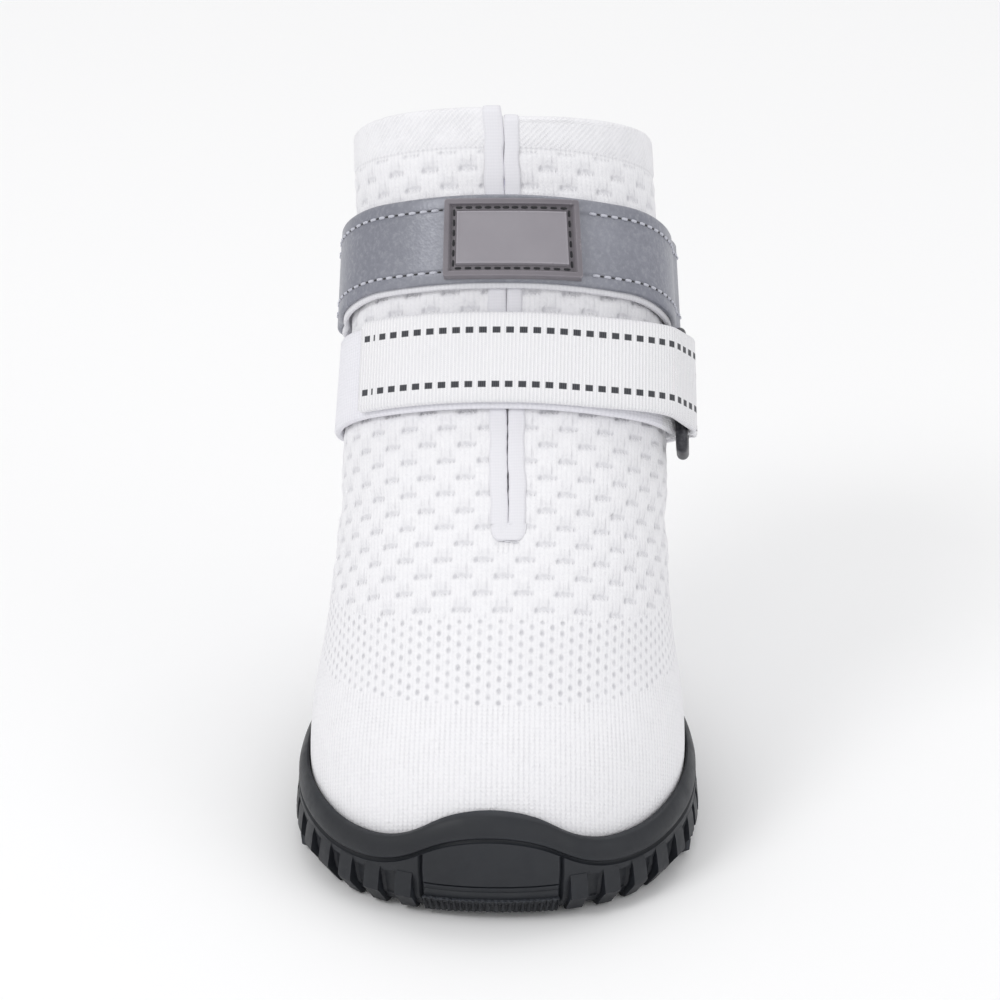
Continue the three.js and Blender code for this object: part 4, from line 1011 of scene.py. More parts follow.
def build_badge():
    b = Build()
    nx, ns = 150, 96
    xs = np.linspace(0, BADGE_W, nx)
    ss = np.linspace(0, BADGE_LOW - BADGE_TOP, ns)
    X, S = np.meshgrid(xs, ss)
    H = badge_height(X * 21.5 / BADGE_W, S, 21.5, BADGE_LOW - BADGE_TOP)
    d0 = STRAP_LOW_D + STRAP_T / 2 + GAP + 0.05
    V1 = v_below(np.zeros(1), np.array([19.0]))[0]
    U = np.broadcast_to(u_at_x(BADGE_X - BADGE_W / 2 + xs, np.full(nx, V1))[None, :], X.shape)
    top = skin_at(U[0], v_below(U[0], np.full(nx, BADGE_TOP)), np.zeros(nx))
    low = skin_at(U[0], v_below(U[0], np.full(nx, BADGE_LOW)), np.zeros(nx))
    n0 = skin_normal(U[0], v_below(U[0], np.full(nx, BADGE_TOP)))
    n1 = skin_normal(U[0], v_below(U[0], np.full(nx, BADGE_LOW)))
    f = (ss / ss[-1])[:, None, None]
    P = top[None] * (1 - f) + low[None] * f
    Nn = unit(n0[None] * (1 - f) + n1[None] * f)
    P = P + Nn * (d0 + H - 0.02)[..., None]
    inner = (np.minimum(np.minimum(X * 21.5 / BADGE_W, 21.5 - X * 21.5 / BADGE_W), np.minimum(S, S[-1, -1] - S)) > 2.12)
    mats = inner[:-1, :-1].ravel().astype(int)
    b.grid(P, np.stack([X, S], -1), flip=True, mat=mats)
    b.object("badge_patch", [BADGE_RUBBER, BADGE_PANEL], replaces=["badge"])
    # dark stitches in the channel
    b = Build()
    W2, H2 = 21.5, BADGE_LOW - BADGE_TOP
    m = 1.56

    def at(a, c):
        i = a / W2 * (nx - 1)
        j = c / H2 * (ns - 1)
        i0, j0 = int(np.clip(i, 0, nx - 2)), int(np.clip(j, 0, ns - 2))
        p = P[j0, i0] + (P[j0, i0 + 1] - P[j0, i0]) * (i - i0) + (P[j0 + 1, i0] - P[j0, i0]) * (j - j0)
        return p, Nn[j0, i0]

    for (a0, c0), (a1, c1) in [((m, m), (W2 - m, m)), ((W2 - m, m), (W2 - m, H2 - m)), ((W2 - m, H2 - m), (m, H2 - m)), ((m, H2 - m), (m, m))]:
        total = math.hypot(a1 - a0, c1 - c0)
        n = int(round(total / 1.55))
        for i in range(n):
            f = (i + 0.5) / n
            p, nn = at(lerp(a0, a1, f), lerp(c0, c1, f))
            p1, _ = at(lerp(a0, a1, f + 0.02), lerp(c0, c1, f + 0.02))
            stitch(b, p, p1 - p, nn, 1.15, 0.2)
    b.object("badge_stitches", [DARK_THREAD])


build_badge()

# ring and webbing ------------------------------------------------
BAR_U, BAR_R = 76, 0.95
BAR_D = GAP + 0.1 + BAND_T + GAP + BAR_R + 0.35
RING_LONG, RING_SHORT, RING_LOW, RING_SWING = 20.4, 7.4, 0.3, 9


def one(u, s, d):
    u = np.array([u])
    return skin_at(u, v_below(u, np.array([s])), np.array([d]))[0]


s0, s1 = edge("webbing", BAR_U)
u0 = math.radians(BAR_U)
ra, rb = one(u0, s0, BAR_D), one(u0, s1, BAR_D)
r_across = unit(rb - ra)
r_mid = (ra + rb) / 2 + r_across * RING_LOW
r_side = one(math.radians(BAR_U + 6), (s0 + s1) / 2, BAR_D) - one(u0, (s0 + s1) / 2, BAR_D)
r_side = unit(r_side - r_across * np.dot(r_side, r_across))
outward = unit(np.cross(r_across, r_side))
r_side = r_side * math.cos(math.radians(RING_SWING)) - outward * math.sin(math.radians(RING_SWING))
r_centre = r_mid + r_side * (RING_SHORT / 2 - BAR_R)
r_out = unit(np.cross(r_across, r_side))


def build_ring():
    hl, hs, r = RING_LONG / 2 - BAR_R, RING_SHORT / 2 - BAR_R, 1.5
    wire = []
    for cx, cy, t0 in [(hl - r, hs - r, 0), (-(hl - r), hs - r, 90), (-(hl - r), -(hs - r), 180), (hl - r, -(hs - r), 270)]:
        for t in range(0, 91, 9):
            a = math.radians(t0 + t)
            wire.append(r_centre + r_across * (cx + r * math.cos(a)) + r_side * (cy + r * math.sin(a)))
    # more points on the long bars
    full = []
    for i, p in enumerate(wire):
        q = wire[(i + 1) % len(wire)]
        full.append(p)
        gap = np.linalg.norm(q - p)
        if gap > 1.5:
            for k in range(1, int(gap / 1.2)):
                full.append(p + (q - p) * k / int(gap / 1.2))
    n, m = len(full), 18
    pts = []
    for i in range(n):
        t = unit(full[(i + 1) % n] - full[i - 1])
        w = unit(np.cross(t, r_out))
        pts.append([full[i] + w * (BAR_R * math.cos(2 * PI * k / m)) + r_out * (BAR_R * math.sin(2 * PI * k / m)) for k in range(m)])
    pts.append(pts[0])
    b = Build()
    b.grid(np.array(pts), wrap=True, flip=False)
    b.object("ring_wire", [METAL], replaces=["strap_ring"])


build_ring()


def bend(k, r, width, angles):
    bar = r_centre + r_side * (k * (RING_SHORT / 2 - BAR_R)) - r_across * RING_LOW
    out = []
    for t in angles:
        t = math.radians(t)
        p = bar - r_side * (k * r * math.cos(t)) + r_out * (r * math.sin(t))
        out.append([p - r_across * (width / 2), p + r_across * (width / 2)])
    return np.array(out)


TURN = list(range(-90, 91, 12)) + ([90] if 90 not in range(-90, 91, 12) else [])
UNDER_END = 62
fold_r = BAR_R + GAP + BAND_T / 2 + 0.05
upper_d = BASE_D + BAND_T + GAP
web_w = s1 - s0
deg_a = stations(114, 360 + UNDER_END, 2.2)
d_a = np.where(deg_a > 390, BASE_D + (BAR_D - fold_r - BASE_D) * ease((deg_a - 390) / 40), BASE_D)
deg_b = stations(UNDER_END - 2, -52, 2.2)
d_b = upper_d + (BAR_D + fold_r - upper_d) * ease((deg_b - 20) / 48)
pairs = np.concatenate([along("webbing", deg_a, d_a), bend(-1, fold_r, web_w, TURN), along("webbing", deg_b, d_b, -0.4)])


def even(pairs, step):
    """Stations of a path set evenly along it."""
    mid = pairs.mean(1)
    length = np.concatenate([[0], np.cumsum(np.linalg.norm(np.diff(mid, axis=0), axis=1))])
    n = int(length[-1] / step) + 1
    at = np.linspace(0, length[-1], n)
    return np.stack([np.stack([np.interp(at, length, pairs[:, i, k]) for k in range(3)], -1) for i in (0, 1)], 1)


def relax(pairs, rounds):
    """Soften the steps where two stretches of path join; the ends stay."""
    p = pairs.copy()
    for _ in range(rounds):
        p[1:-1] = 0.25 * p[:-2] + 0.5 * p[1:-1] + 0.25 * p[2:]
    return p


pairs = relax(even(pairs, 0.55), 3)
web = Strip(pairs, BAND_T)
# length where the fold round the ring starts
n_a = np.argmin(np.linalg.norm(pairs.mean(1) - bend(-1, fold_r, web_w, [-90])[0].mean(0), axis=1))
fold_s = web.len[n_a]
b = Build()
total = web.len[-1]
web.mesh(b, uv0=total, sign=-1.0, mat_of=lambda s: 1 if s < fold_s - 4.0 else 0)
b.object("webbing_cloth", [WEBBING, LOOP], replaces=["webbing_strap"])
b = Build()
back_s = float(web.len[int(np.argmin(np.abs(np.degrees(np.unwrap(np.arctan2(web.p.mean(1)[:, 0], -(web.p.mean(1)[:, 1] - 20)))) - 252)))])
for a in (3.0, web_w - 3.0):
    stitch_row(b, web, 2.0, 52.0, a, a, 1.75, 1.15, 0.13)
stitch_row(b, web, 2.0, 2.0, 3.2, web_w - 3.2, 1.75, 1.15, 0.13)
stitch_row(b, web, 52.0, 52.0, 3.2, web_w - 3.2, 1.75, 1.15, 0.13)
b.object("webbing_stitches", [SOFT_THREAD])

# tab round the ring's rear bar
tab_r = BAR_R + GAP + TAB_T / 2 + 0.05
tab_low = GAP + 0.1 + TAB_T / 2
tab_high = BASE_D + BAND_T / 2 + GAP + 0.1 + TAB_T / 2
deg_c = stations(109, 97, 1.5)
deg_d = stations(97, 126, 1.5)
tab_pairs = np.concatenate([
    along("webbing", deg_c, tab_low + 0.9 * ease((109 - deg_c) / 18), inset=1.0),
    bend(1, tab_r, web_w - 2.0, TURN),
    along("webbing", deg_d, tab_high + 2.0 * ease((112 - deg_d) / 20), inset=1.0),
])
tab = Strip(relax(even(tab_pairs, 0.5), 2), TAB_T)
b = Build()
tab.mesh(b, uv0=0.8)
b.object("ring_tab_cloth", [WEBBING], replaces=["ring_tab"])
b = Build()
for a in (4.2, tab.width[-1] - 4.2):
    stitch_row(b, tab, tab.len[-1] - 9, tab.len[-1] - 1.5, a, a, 1.75, 1.15, 0.13)
b.object("tab_stitches", [SOFT_THREAD])

# stitch line across the back tape and on the loop band
b = Build()
for a in (1.3, 12.3):
    stitch_row(b, loop_strip, 1.5, loop_strip.len[-1] - 1.5, a, a, 1.9, 1.2, 0.12)
b.object("loop_band_stitches", [SOFT_THREAD])
b = Build()
for i in range(9):
    x = -6.2 + 12.4 * (i + 0.5) / 9
    v = float(v_below(np.array([PI]), np.array([6.0]))[0])
    sec = section(np.array(v))
    u = PI - float(np.arcsin(np.clip(spow(np.array((x - sec[8]) / sec[4]), sec[7] / 2), -1, 1)))
    p = shell_point(np.array([u]), np.array([6.0]), np.array([0.33]))[0]
    p2 = shell_point(np.array([u + 0.01]), np.array([6.0]), np.array([0.33]))[0]
    n = skin_normal(np.array([u]), np.array([v]))[0]
    stitch(b, p, p2 - p, n, 1.05, 0.14)
b.object("back_tape_stitches", [DARK_THREAD])


# ------------------------------------------------------------------ sole
def outline(u, d):
    u, d = np.broadcast_arrays(np.asarray(u, float), np.asarray(d, float))
    c = np.cos(u)
    n = np.where(c > 0, FORE_POWER, AFT_POWER)
    run = np.where(c > 0, SOLE_FORE, SOLE_AFT) - d
    k = np.abs(c) ** (2 / n)
    return (SOLE_HALF - d) * spow(np.sin(u), 2 / n), WIDEST + np.where(c > 0, -run, run) * k - ORIGIN_Y


def lift(x, y):
    d = np.asarray(y) + ORIGIN_Y
    toe = np.clip((10 - d) / 10, 0, 1)
    heel = np.clip((d - 70) / 7, 0, 1)
    side = np.clip((np.abs(x) - 20) / 10, 0, 1)
    return 1.3 * toe**2 + 0.7 * heel**2 + 0.9 * side**2


def waist(y):
    w = np.clip(1 - np.abs(np.asarray(y) + ORIGIN_Y - 42) / 11, 0, 1)
    return 0.5 * w * w * (3 - 2 * w)


def rim_z(u):
    u = np.asarray(u, float)
    total, weight = 0.0, 0.0
    for k in range(-8, 9):
        w = math.exp(-((k / 4.5) ** 2))
        a = u + math.radians(1.5 * k)
        total = total + w * smooth_table(RIM, np.abs(np.degrees(np.arctan2(np.sin(a), np.cos(a)))))[..., 0]
        weight += w
    return total / weight


EDGE_LUGS = [
    (1.6, 2.6, 0.75), (4.1, 2.6, 0.8), (7.4, 2.6, 0.8), (11.4, 2.7, 0.75), (16.2, 2.8, 0.7),
    (21.4, 3.0, 0.55), (25.9, 3.0, 0.5), (30.5, 3.0, 0.5), (35.1, 3.0, 0.5), (39.7, 3.0, 0.5), (44.2, 3.0, 0.5),
]


def angle_at(d):
    fore = d < WIDEST
    k = (WIDEST - d) / SOLE_FORE if fore else (d - WIDEST) / SOLE_AFT
    c = min(max(k, 0), 1) ** ((FORE_POWER if fore else AFT_POWER) / 2)
    return math.acos(c if fore else -c)


def arc_rate(u):
    xa, ya = outline(u - 0.005, 0)
    xb, yb = outline(u + 0.005, 0)
    return math.hypot(float(xb - xa), float(yb - ya)) / 0.01


LUG_SPANS = []   # (start angle, end angle) on the +X side
for d, w, proud in EDGE_LUGS:
    mid = angle_at(d)
    half = (w / 2) / arc_rate(mid)
    LUG_SPANS.append((mid - half, mid + half, proud))


def build_sole():
    b = Build()
    # recesses between the lugs, and the two upright grooves beside the toe guard
    spans = []
    for i in range(len(LUG_SPANS) - 1):
        a, c = LUG_SPANS[i][1], LUG_SPANS[i + 1][0]
        rate = arc_rate((a + c) / 2)
        m = 0.28 / rate
        if c - a > 2.5 * m:
            spans.append((a + m, c - m, 0.28, 1.6, 6.4))
    toe_edge = float(np.arcsin(np.clip((10.4 / SOLE_HALF) ** (FORE_POWER / 2), 0, 1)))
    marks = set(np.round(np.linspace(0, PI, 170), 6))
    for a, c, *_ in spans:
        rate = arc_rate((a + c) / 2)
        e = 0.16 / rate
        for k in (a - e, a, a + e, c - e, c, c + e):
            marks.add(round(float(k), 6))
    g = 0.32 / arc_rate(toe_edge)
    for k in (-2 * g, -g, 0, g, 2 * g):
        marks.add(round(toe_edge + k, 6))
    us = np.array(sorted(m for m in marks if 0 <= m <= PI))
    us = np.concatenate([us, 2 * PI - us[1:-1][::-1]])
    ua = np.where(us <= PI, us, 2 * PI - us)
    rz = rim_z(us)
    # levels: name, height, inset
    x0, y0 = outline(us, 3.3)
    l0 = lift(x0, y0)
    L = []

    def level(z, inset, press=1.0):
        L.append((z * np.ones_like(us), inset * np.ones_like(us), press))

    lf = 0.05 + 0.02 * (rz - 11)
    zw = np.minimum(8.4, rz - 4.3)
    # toward the toe the wall is fuller and reaches lower, as far back as the last lug
    full = smoothstep((LUG_SPANS[-1][1] + 0.10 - ua) / 0.12)
    low = 0.75 * full

    def mixed(heel, toe):
        return heel + (toe - heel) * full

    level(BASE_Z + l0, 3.3, 0)
    level(BASE_Z + 0.08 - low + l0, mixed(2.95, 2.75), 0)
    level(BASE_Z + 0.12 - low + l0, mixed(2.8, 2.1), 0)
    level(2.05 - low + 0.8 * l0, mixed(2.2, 1.75), 0)
    level(2.2 - 0.4 * low + 0.7 * l0, mixed(1.85, 1.5), 0)
    level(2.5 + 0.7 * l0, mixed(1.8, 1.08), 0)
    level(2.65 + 0.6 * l0, mixed(1.95, 0.96), 1)
    level(2.95 + 0.6 * l0, mixed(1.7, 0.84), 1)
    level(3.4 + 0.5 * l0, mixed(1.35, 0.70), 1)
    level(4.1 + 0.3 * l0, mixed(0.98, 0.56), 1)
    level(4.22 + 0.27 * l0, mixed(0.93, 0.53), 1)
    level(4.34 + 0.25 * l0, mixed(0.88, 0.50), 1)
    level(4.46 + 0.22 * l0, mixed(0.82, 0.47), 1)
    level(4.9 + 0.1 * l0, mixed(0.62, 0.42), 1)
    level(5.2, 0.42, 2)
    level(5.6, 0.36, 1)
    level(5.6 + 0.17 * (zw - 5.6), 0.28, 1)
    level(5.6 + 0.20 * (zw - 5.6), 0.26, 3)
    level(5.6 + 0.25 * (zw - 5.6), 0.23, 3)
    level(5.6 + 0.28 * (zw - 5.6), 0.21, 1)
    level(5.6 + 0.55 * (zw - 5.6), 0.1, 1)
    level(5.6 + 0.62 * (zw - 5.6), 0.08, 0)
    level(zw, 0.0, 0)
    level(rz - 4.05, lf * 0.6, 0)
    level(rz - 3.85, lf, 0)
    level(rz - 3.72, lf + 0.42, 0)
    level(rz - 3.45, lf + 0.55, 0)
    level(rz - 3.25, lf + 0.45, 0)
    level(rz - 3.12, 0.12 + 0.03 * (rz - 11), 0)
    level(rz - 2.9, 0.02 + 0.03 * (rz - 11), 0)
    level(rz - 2.3, 0.02 + 0.04 * (rz - 11), 0)
    level(rz - 1.6, 0.16 + 0.06 * (rz - 11), 0)
    level(rz - 0.95, 0.40 + 0.075 * (rz - 11), 0)
    level(rz - 0.45, 0.66 + 0.085 * (rz - 11), 0)
    level(rz - 0.14, 0.92 + 0.09 * (rz - 11), 0)
    level(rz, 1.12 + 0.09 * (rz - 11), 0)
    rows = []
    for z, inset, press in L:
        extra = np.zeros_like(us)
        if press == 3:
            extra = extra + 0.24 * smoothstep((toe_edge - ua) / (2 * g))
        if press == 2:
            extra = extra + 0.16 * smoothstep((toe_edge - ua) / (2 * g))
        if press:
            for a, c, depth, za, zb in spans:
                e = 0.16 / arc_rate((a + c) / 2)
                m = smoothstep((ua - a + e) / (2 * e)) * smoothstep((c + e - ua) / (2 * e))
                extra = np.maximum(extra, m * depth)
        # upright grooves
        zmid = z.mean()
        if 4 < len(rows) < 24:
            m = smoothstep(1 - np.abs(ua - toe_edge) / (1.5 * g))
            extra = np.maximum(extra, m * 0.62)
        # the toe guard: flat bevelled shelf above the tread
        front = smoothstep((toe_edge - ua) / (2 * g))
        bulge = np.where((z > 2.4) & (z < rz - 4.2), 0.28, 0.0) * front
        x, y = outline(us, inset + extra - bulge)
        rows.append(np.stack([x, y, z], -1))
    # inner edge of the rim, close on the cloth
    for drop, dist in ((0.0, 0.50), (0.22, 0.24), (1.0, 0.12), (3.0, 0.10)):
        zt = rz - drop
        vv = np.empty_like(us)
        vg = np.linspace(0.5, 4.0, 120)
        for i, u in enumerate(us):
            zs = skin(np.full(120, u), vg)[:, 2]
            vv[i] = np.interp(zt[i], zs, vg)
        rows.append(skin_at(us, vv, dist + swell(vv)))
    pts = np.stack(rows)
    b.grid(pts, np.zeros((pts.shape[0] * pts.shape[1], 2)), wrap=True)
    # underside
    under = []
    for inset in (3.3, 5.0, 7.0, 9.5, 13.0, 18.0, 24.0):
        x, y = outline(us, inset)
        under.append(np.stack([x, y, BASE_Z + lift(x, y)], -1))
    up = np.stack(under)
    start = b.n
    b.grid(up, np.zeros((up.shape[0] * up.shape[1], 2)), wrap=True, flip=True, mat=0)
    last = [start + (up.shape[0] - 1) * len(us) + i for i in range(len(us))]
    b.f.append(last[::-1])
    b.m.append(0)
    return b.object("sole_body", [RUBBER, RUBBER_TREAD], replaces=["outsole"], sharp=50)


build_sole()


def block(b, plan, z0, bevel=0.22, top=BASE_Z + 0.3, flat=False, mat=0, taper=0.25):
    """A tread block over a plan of (x, distance behind the toe tip), its foot at z0 on the lifted floor."""
    plan = np.array(plan, float)
    area = np.sum(plan[:, 0] * np.roll(plan[:, 1], -1) - np.roll(plan[:, 0], -1) * plan[:, 1])
    if area < 0:
        plan = plan[::-1]
    y = plan[:, 1] - ORIGIN_Y
    c = np.array([plan[:, 0].mean(), y.mean()])
    xy = np.stack([plan[:, 0], y], 1)
    nxt, prv = np.roll(xy, -1, 0), np.roll(xy, 1, 0)
    e1, e0 = unit(nxt - xy), unit(xy - prv)
    nrm = unit(np.stack([-(e1 + e0)[:, 1], (e1 + e0)[:, 0]], 1))   # inward for counter-clockwise
    cosh = np.clip(np.abs(np.sum(nrm * np.stack([-e1[:, 1], e1[:, 0]], 1), 1)), 0.35, 1)
    nrm = nrm / cosh[:, None]

    def ring(z, inset):
        p = xy + nrm * inset
        zz = z + lift(p[:, 0], p[:, 1]) + (0 if flat else waist(p[:, 1]))
        return np.concatenate([p, zz[:, None]], 1)

    rings = np.stack([ring(top, -0.05), ring(z0 + bevel, taper * 0.6), ring(z0 + bevel * 0.3, taper * 0.6 + bevel * 0.3), ring(z0, taper * 0.6 + bevel)])
    n = len(plan)
    start = b.n
    b.add(rings.reshape(-1, 3), grid_faces(4, n, wrap=True, flip=True), None, mat)
    b.f.append([start + 3 * n + i for i in range(n)][::-1])
    b.m.append(mat)


def build_tread():
    b = Build()
    TOE = [(2, 9.2), (6, 9.0), (11.3, 7.6), (15, 10.0), (17.5, 11.1)]
    HEEL = [(45.5, 8.6), (50, 8.0), (56, 6.3), (62, 6.5), (70, 7.4), (73, 7.2)]

    def width(rows, d):
        r = np.array(rows)
        return float(np.interp(d, r[:, 0], r[:, 1]))

    def rib(d, table, depth=1.95, z0=0.0, lo=None, hi=None):
        w = width(table, d + 0.8)
        lo, hi = (-w if lo is None else lo), (w if hi is None else hi)
        # serrated front and back edges
        n = max(4, int(round((hi - lo) / 0.5)))
        xs = [lo + (hi - lo) * i / n for i in range(n + 1)]
        top = [(x, d + (0.28 if i % 2 else 0.0)) for i, x in enumerate(xs)]
        bot = [(x, d + depth) for x in xs][::-1]
        block(b, top + bot, z0, bevel=0.14, taper=0.1)

    d = 2.2
    while d < 18.6:
        rib(d, TOE)
        d += 2.65
    d = 45.6
    while d < 73:
        if d < 50.5:
            w = width(HEEL, d + 0.8)
            rib(d, HEEL, lo=-w, hi=-4.4)
            rib(d, HEEL, lo=4.4, hi=w)
        else:
            rib(d, HEEL)
        d += 2.65

    def wall(centre, width_, z0=0.0, seg=None, mat=0):
        c = np.array(centre, float)
        if seg:
            t = np.linspace(0, 1, len(c))
            tt = np.linspace(0, 1, seg)
            c = np.stack([np.interp(tt, t, c[:, 0]), np.interp(tt, t, c[:, 1])], 1)
            for _ in range(2):
                c[1:-1] = 0.25 * c[:-2] + 0.5 * c[1:-1] + 0.25 * c[2:]
        tan = np.gradient(c, axis=0)
        nn = unit(np.stack([-tan[:, 1], tan[:, 0]], 1))
        left, right = c + nn * width_ / 2, c - nn * width_ / 2
        block(b, np.concatenate([left, right[::-1]]).tolist(), z0, bevel=0.16, taper=0.15, mat=mat)

    # middle panel: border, top bar, stepped bands, disc, arch
    MID = [(20.4, 11.8), (24, 13.2), (28, 14.3), (33, 13.6), (38, 11.6), (43, 9.8)]
    for sgn in (1, -1):
        wall([(sgn * (w - 0.7), dd) for dd, w in MID], 1.2, seg=18, mat=1)
    wall([(-11.2, 20.2), (-6, 21.2), (0, 21.6), (6, 21.2), (11.2, 20.2)], 1.2, seg=13, mat=1)
    for dd, half, z0, m in [(23.6, 1.15, 0.72, 0), (26.9, 1.1, 0.98, 1), (30.3, 1.15, 0.72, 1), (33.9, 1.15, 0.98, 0), (37.3, 1.0, 0.80, 1)]:
        w0, w1 = width(MID, dd - half) - 1.7, width(MID, dd + half) - 1.7
        block(b, [(-w0, dd - half), (w0, dd - half), (w1, dd + half), (-w1, dd + half)], z0, bevel=0.2, mat=m)
    block(b, [(-4.6, 38.5), (4.6, 38.5), (4.9, 40.4), (-4.9, 40.4)], 0.3, bevel=0.2)
    wall([(-9.0, 44.6), (-6.4, 42.9), (-3.2, 41.9), (0, 41.6), (3.2, 41.9), (6.4, 42.9), (9.0, 44.6)], 1.15, seg=19, mat=1)

    def disc(dd, r, z0, n=56):
        ang = np.linspace(0, 2 * PI, n, endpoint=False)
        block(b, [(r * math.cos(a), dd + r * math.sin(a)) for a in ang], z0, bevel=0.25, mat=1)

    disc(30.3, 7.4, 0.3)

    # a plain pad-and-toes ornament on the disc
    def oval(cx, cd, rx, ry, rot, z0, n=26):
        ang = np.linspace(0, 2 * PI, n, endpoint=False)
        ca, sa = math.cos(rot), math.sin(rot)
        block(b, [(cx + rx * math.cos(a) * ca - ry * math.sin(a) * sa, cd + rx * math.cos(a) * sa + ry * math.sin(a) * ca) for a in ang], z0, bevel=0.14, top=0.7, mat=1)

    for cx, cd, rot in ((-1.95, 27.2, -0.10), (1.95, 27.2, 0.10), (-4.85, 29.9, -0.40), (4.85, 29.9, 0.40)):
        oval(cx, cd, 1.22, 1.75, rot, 0.05)
    ang = np.linspace(0, 2 * PI, 52, endpoint=False)
    pad = []
    for a in ang:
        rr = 2.75 + 0.50 * math.cos(3 * (a + PI / 2)) + 0.22 * math.cos(2 * a)
        pad.append((rr * 1.16 * math.cos(a), 33.0 + rr * 0.88 * math.sin(a)))
    block(b, pad, 0.05, bevel=0.16, top=0.7, mat=1)
    disc(47.7, 4.0, 0.15, n=36)

    # side bars in pairs, joined at their inner ends
    BARS = [(13.6, 20.6, 28.6, 22.0), (15.0, 24.4, 29.0, 26.2), (15.8, 28.4, 28.9, 30.6), (15.6, 32.2, 28.6, 34.8), (14.6, 36.2, 27.9, 39.2), (13.2, 40.0, 26.8, 43.4)]
    for xi, di, xo, dn in BARS:
        bow = [(xi, di + 0.4), (lerp(xi, xo, 0.25), lerp(di, dn, 0.25) - 0.45), (lerp(xi, xo, 0.5), lerp(di, dn, 0.5) - 0.8), (lerp(xi, xo, 0.78), lerp(di, dn, 0.78) - 0.4), (xo, dn + 0.8)]
        wall(bow, 3.0, seg=16)
        wall([(-x, dd) for x, dd in bow], 3.0, seg=16)
    for k in (0, 2, 4):
        (xa, da, *_), (xb, db, *_) = BARS[k], BARS[k + 1]
        for sgn in (1, -1):
            block(b, [(sgn * (xa - 0.05), da + 0.3), (sgn * (xa + 3.0), da + 0.1), (sgn * (xb + 3.0), db + 0.4), (sgn * (xb - 0.05), db + 0.6)], 0.045, bevel=0.14)

    # quadrants: low fields out to the edge, under the stars
    def field(table, gap, inset, inner, outer, z0):
        uu = np.linspace(0.05, PI - 0.05, 150)
        x, y = outline(uu, inset)
        dd = y + ORIGIN_Y
        r = np.array(table)
        keep = (dd > outer[0]) & (dd < outer[1]) & (x > np.interp(dd, r[:, 0], r[:, 1]) + gap + 0.3)
        out = [(float(a), float(c)) for a, c in zip(x[keep], dd[keep])][::3]
        inn = [(width(table, c) + gap, c) for c in np.linspace(min(inner[1], out[-1][1]), max(inner[0], out[0][1] - 3.5), 9)]
        plan = out + inn
        block(b, plan, z0, bevel=0.15, mat=1)
        block(b, [(-x, c) for x, c in plan], z0, bevel=0.15, mat=1)

    field(TOE, 0.7, 3.0, (2.4, 18.9), (2.4, 18.3), 0.5)
    field(HEEL, 0.7, 2.2, (43.4, 74.2), (46.8, 74.5), 0.5)

    def star(cx, cd, r, z0=0.0, rot=0.0):
        pts = []
        for i in range(10):
            rr = r if i % 2 == 0 else r * 0.55
            a = -PI / 2 + rot + i * PI / 5
            pts.append((cx + rr * math.cos(a), cd + rr * math.sin(a)))
        block(b, pts, z0, bevel=0.14, top=0.8, taper=0.05, mat=1)

    STARS = [(11.9, 5.9), (15.3, 7.4), (11.5, 10.6), (15.6, 11.6), (19.5, 11.8), (13.4, 15.4), (17.7, 15.8), (21.9, 15.6),
             (12.0, 49.2), (16.6, 50.0), (21.0, 50.2), (10.6, 54.4), (15.2, 54.9), (10.3, 59.6), (13.9, 60.4), (11.6, 65.0)]
    for k, (x, dd) in enumerate(STARS):
        star(x, dd, 1.6, rot=0.35 * (k % 3 - 1))
        star(-x, dd, 1.6, rot=-0.35 * (k % 3 - 1))
    # small lumps along the heel's edge
    for i in range(11):
        u = lerp(angle_at(49.5), angle_at(74.0), i / 10)
        x, y = (float(q) for q in outline(u, 4.2 + 0.35 * math.sin(2.1 * i)))
        for sgn in (1, -1):
            ang = np.linspace(0, 2 * PI, 9, endpoint=False)
            block(b, [(sgn * x + 0.62 * math.cos(a), y + ORIGIN_Y + 0.62 * math.sin(a)) for a in ang], 0.18, bevel=0.15, top=0.8, mat=1)
    # edge lugs
    for (a, c, proud), (d_, w_, _) in zip(LUG_SPANS, EDGE_LUGS):
        for sgn in (1, -1):
            n = 5
            uu = np.linspace(a, c, n)

            def ring(inset_fn, z):
                rows = []
                for inset in inset_fn:
                    x, y = outline(uu, inset)
                    rows.append(np.stack([sgn * x, y, z + lift(x, y) * (1 if z < 3 else 0.3)], -1))
                return rows

            reach = 4.9 if d_ > 20 else 2.5
            prof = [(reach + 0.3, 1.9), (reach + 0.1, 0.35), (reach - 0.1, 0.2), (1.75, 0.2), (1.5, 0.3), (1.2, 0.75), (0.3 - proud * 0.6, 2.4), (0.1 - proud, 3.3), (0.05 - proud * 0.9, 3.9), (0.02 - proud * 0.65, 4.9), (-proud * 0.4, 6.1), (0.0, 7.1), (0.9, 7.5)]
            rows = []
            for inset, z in prof:
                x, y = outline(uu, inset)
                rows.append(np.stack([sgn * x, y, z + lift(x, y) * (1 if z < 3 else 0.3)], -1))
            pts = np.stack(rows)
            start = b.n
            b.grid(pts, np.zeros((pts.shape[0] * pts.shape[1], 2)), flip=sgn > 0, mat=1)
            r = pts.shape[0]
            left = [start + k * n for k in range(r)]
            right = [start + k * n + n - 1 for k in range(r)]
            b.f.append(left if sgn > 0 else left[::-1])
            b.m.append(1)
            b.f.append(right[::-1] if sgn > 0 else right)
            b.m.append(1)
